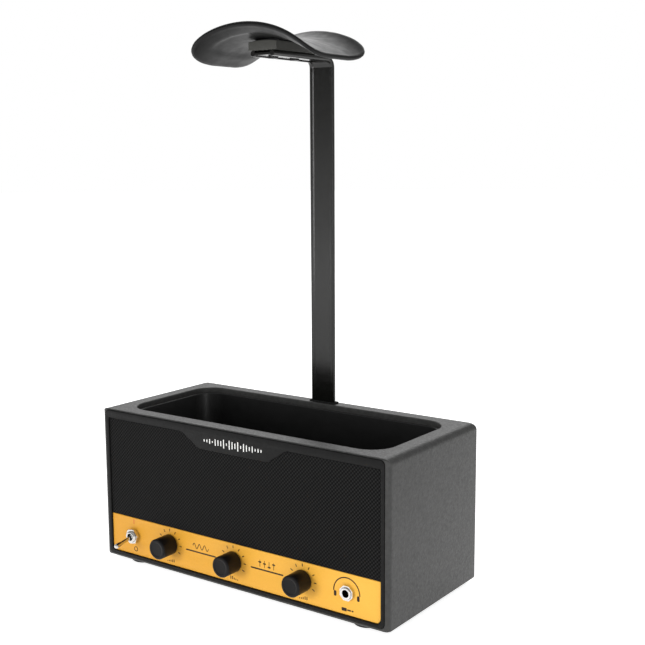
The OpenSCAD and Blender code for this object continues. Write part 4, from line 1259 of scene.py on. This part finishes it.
def block():
    """Block on the arm, with an arched top that the saddle's pad lies on."""
    bm = bmesh.new()
    half = BLOCK_HIGH.x
    radius = SADDLE_ARCH_R - SADDLE_T - 0.8 * MM
    centre = BLOCK_HIGH.z - radius
    spread = math.degrees(math.asin(half / radius))
    outline = arc(0, centre, radius, 90 - spread, 90 + spread, 10)
    outline += [(-half, BLOCK_LOW.z), (half, BLOCK_LOW.z)]
    add_plate(bm, outline, [], BLOCK_LOW.y, BLOCK_HIGH.y, 0.3 * MM)
    finish_piece("saddle_block_moulded", bm, "block", ("saddle_block",))


SADDLE_LIP = 6 * MM
SADDLE_FLAT = 9 * MM
SADDLE_MIDDLE_Y = (SADDLE_LOW.y + SADDLE_HIGH.y) / 2
SADDLE_HALF_D = (SADDLE_HIGH.y - SADDLE_LOW.y) / 2


def saddle_lip(y):
    return SADDLE_LIP * (abs(y - SADDLE_MIDDLE_Y) / SADDLE_HALF_D) ** 3


def saddle_top(x, y):
    """Height of the seat: an arch across, with lips that rise beyond a flat middle."""
    crown = PAD_HIGH.z + SADDLE_T
    rise = max(0, saddle_lip(y) - saddle_lip(SADDLE_MIDDLE_Y + SADDLE_FLAT))
    return crown - SADDLE_ARCH_R + math.sqrt(SADDLE_ARCH_R**2 - x * x) + rise


def saddle_plan(share, turn, pull):
    """Point of the rounded plan at a share of the way from its middle to its rim."""
    c, s = math.cos(turn), math.sin(turn)
    reach = (abs(c) ** 7 + abs(s) ** 7) ** (-1 / 7)
    x = (SADDLE_HIGH.x - pull) * share * reach * c
    return x, SADDLE_MIDDLE_Y + (SADDLE_HALF_D - pull) * share * reach * s


def saddle_depth(share):
    """Thickness, with the stiffening band along the rim."""
    return SADDLE_T - 0.02 * MM + SADDLE_RIM_T * min(1, max(0, (share - 0.72) / 0.08))


def saddle():
    """Arched seat with turned-up front and back lips and a rounded rim."""
    bm = bmesh.new()
    rows = 26
    turns = full_turn(144)
    edge = saddle_depth(1) / 2
    rings = []
    for k in range(1, rows + 1):
        plan = [saddle_plan(k / rows, turn, edge) for turn in turns]
        rings.append([Vector((x, y, saddle_top(x, y))) for x, y in plan])
    rim = [saddle_top(*saddle_plan(1, turn, edge)) for turn in turns]
    for a in (30, 60, 90, 120, 150):
        out = edge * math.sin(math.radians(a))
        plan = [saddle_plan(1, turn, edge - out) for turn in turns]
        drop = edge * math.cos(math.radians(a))
        rings.append([Vector((x, y, z - edge + drop)) for (x, y), z in zip(plan, rim)])
    for k in range(rows, 0, -1):
        below = Vector((0, 0, saddle_depth(k / rows)))
        rings.append([p - below for p in rings[k - 1]])
    add_rings(bm, rings)
    finish_piece("saddle_seat", bm, "saddle", ("saddle",), sharp=60)


# ---- back and fasteners

def rear_plate():
    """Plate with the line input, the power inlet and a screw at each end."""
    bm = bmesh.new()
    line = (LINE_LOW + LINE_HIGH) / 2
    middle_z = (REAR_LOW.z + REAR_HIGH.z) / 2
    screw_in = 2.6 * MM
    holes = [circle(line.x, LINE_HIGH.z - LINE_AXIS_DROP, THREAD_R + 0.1 * MM), inlet_hole()]
    for x in (REAR_LOW.x + screw_in, REAR_HIGH.x - screw_in):
        holes.append(circle(x, middle_z, 2.2 * MM, 32))
    outline = round_rect(*front_corners(REAR_LOW, REAR_HIGH), 2 * MM)
    add_plate(bm, outline, holes, REAR_LOW.y, REAR_HIGH.y, 0.2 * MM)
    finish_piece("rear_plate_painted", bm, "rear", ("rear_plate",))


# ---- CAD nodes that stay

def dress_cad_nodes():
    """Gives every CAD node that still shows its slot's finish."""
    slots = {s["node"]: s["material_slot"] for s in frame["record"]["subparts"]}
    for name, node in frame["nodes"].items():
        if node.hide_render:
            continue
        node.data.materials.clear()
        node.data.materials.append(FINISHES[slots[name]])


# ---- stage

def world_light():
    world = bpy.data.worlds.new("studio")
    scene.world = world
    world.use_nodes = True
    tree = world.node_tree
    background = tree.nodes["Background"]
    background.inputs["Strength"].default_value = 0.42
    place = tree.nodes.new("ShaderNodeTexCoord").outputs["Generated"]
    slope = tree.nodes.new("ShaderNodeVectorMath")
    slope.operation = "DOT_PRODUCT"
    slope.inputs[1].default_value = (0.25, 0.1, 0.5)
    tree.links.new(place, slope.inputs[0])
    ramp = tree.nodes.new("ShaderNodeMapRange")
    for socket, value in (("From Min", -0.5), ("From Max", 0.6), ("To Min", 0.45), ("To Max", 1.35)):
        ramp.inputs[socket].default_value = value
    tree.links.new(slope.outputs["Value"], ramp.inputs["Value"])
    tree.links.new(ramp.outputs["Result"], background.inputs["Color"])
    backdrop = tree.nodes.new("ShaderNodeBackground")
    backdrop.inputs["Color"].default_value = (1, 1, 1, 1)
    seen = tree.nodes.new("ShaderNodeLightPath").outputs["Is Camera Ray"]
    mix = tree.nodes.new("ShaderNodeMixShader")
    tree.links.new(seen, mix.inputs["Fac"])
    tree.links.new(background.outputs[0], mix.inputs[1])
    tree.links.new(backdrop.outputs[0], mix.inputs[2])
    tree.links.new(mix.outputs[0], tree.nodes["World Output"].inputs["Surface"])


def area_light(name, at, towards, size, power):
    light = bpy.data.lights.new(name, "AREA")
    light.shape = "RECTANGLE"
    light.size, light.size_y = size
    light.energy = power
    lamp = bpy.data.objects.new(name, light)
    scene.collection.objects.link(lamp)
    lamp.location = at
    lamp.rotation_euler = (Vector(towards) - Vector(at)).to_track_quat("-Z", "Y").to_euler()
    return lamp


def floor():
    bm = bmesh.new()
    reach = 6.0
    steps = 24
    rings = [
        [Vector((x, y, 0)) for x, y in circle(0, 0, reach * (k / steps) ** 2, 64)]
        for k in range(1, steps + 1)
    ]
    add_rings(bm, rings, True, False)
    mesh = bpy.data.meshes.new("floor")
    weld(bm)
    bm.to_mesh(mesh)
    bm.free()
    piece = bpy.data.objects.new("floor", mesh)
    scene.collection.objects.link(piece)
    f = Finish("floor_pale", grey(0.88), 0.8, specular=0.1)
    f.shader.inputs["Emission Color"].default_value = (1, 1, 1, 1)
    f.shader.inputs["Emission Strength"].default_value = 0.8
    f.shade_color(f.noise(3, 3), 0.02)
    f.bump(f.noise(300, 2), 0.02 * MM)
    mesh.materials.append(f.material)
    return piece


def camera():
    """The photograph's view: a little above level, from the front right."""
    data = bpy.data.cameras.new("camera")
    data.sensor_width = 36
    data.lens = 61.9
    data.clip_start, data.clip_end = 0.01, 50
    cam = bpy.data.objects.new("camera", data)
    scene.collection.objects.link(cam)
    yaw, pitch, roll = (math.radians(a) for a in (35.69, 8.78, -0.31))
    forward = Vector((-math.sin(yaw) * math.cos(pitch), math.cos(yaw) * math.cos(pitch), -math.sin(pitch)))
    right = Vector((math.cos(yaw), math.sin(yaw), 0))
    up = right.cross(forward)
    right, up = (
        right * math.cos(roll) + up * math.sin(roll),
        up * math.cos(roll) - right * math.sin(roll),
    )
    cam.matrix_world = matrix_from_axes(right, up, -forward, Vector((0.3597, -0.4648, 0.2291)))
    scene.camera = cam
    return cam


def matrix_from_axes(x, y, z, at):
    turn = Matrix((x, y, z)).transposed().to_4x4()
    turn.translation = at
    return turn


scene.view_settings.view_transform = "Standard"
camera()
world_light()
floor()
# The key only lights surfaces; the black parts don't mirror it
key = area_light("key", (-0.5, -1.4, 0.35), (0, 0, 0.05), (0.5, 0.5), 11.5)
key.visible_glossy = False
area_light("edge_strip", (1.0, -0.45, 0.3), (0, 0, 0.15), (0.09, 0.8), 1.6)
area_light("back_fill", (-0.8, 1.2, 1.0), (0, 0, 0.1), (1.6, 1.0), 10)

cabinet()
front_frame()
badge_marks()
grille()
panel()
panel_print()
knobs()
toggle_bushing()
toggle_fasteners()
toggle_lever()
jack()
tray_tub()
base_plate()
rubber_feet()
bar()
grommet()
block()
saddle()
rear_plate()
dress_cad_nodes()
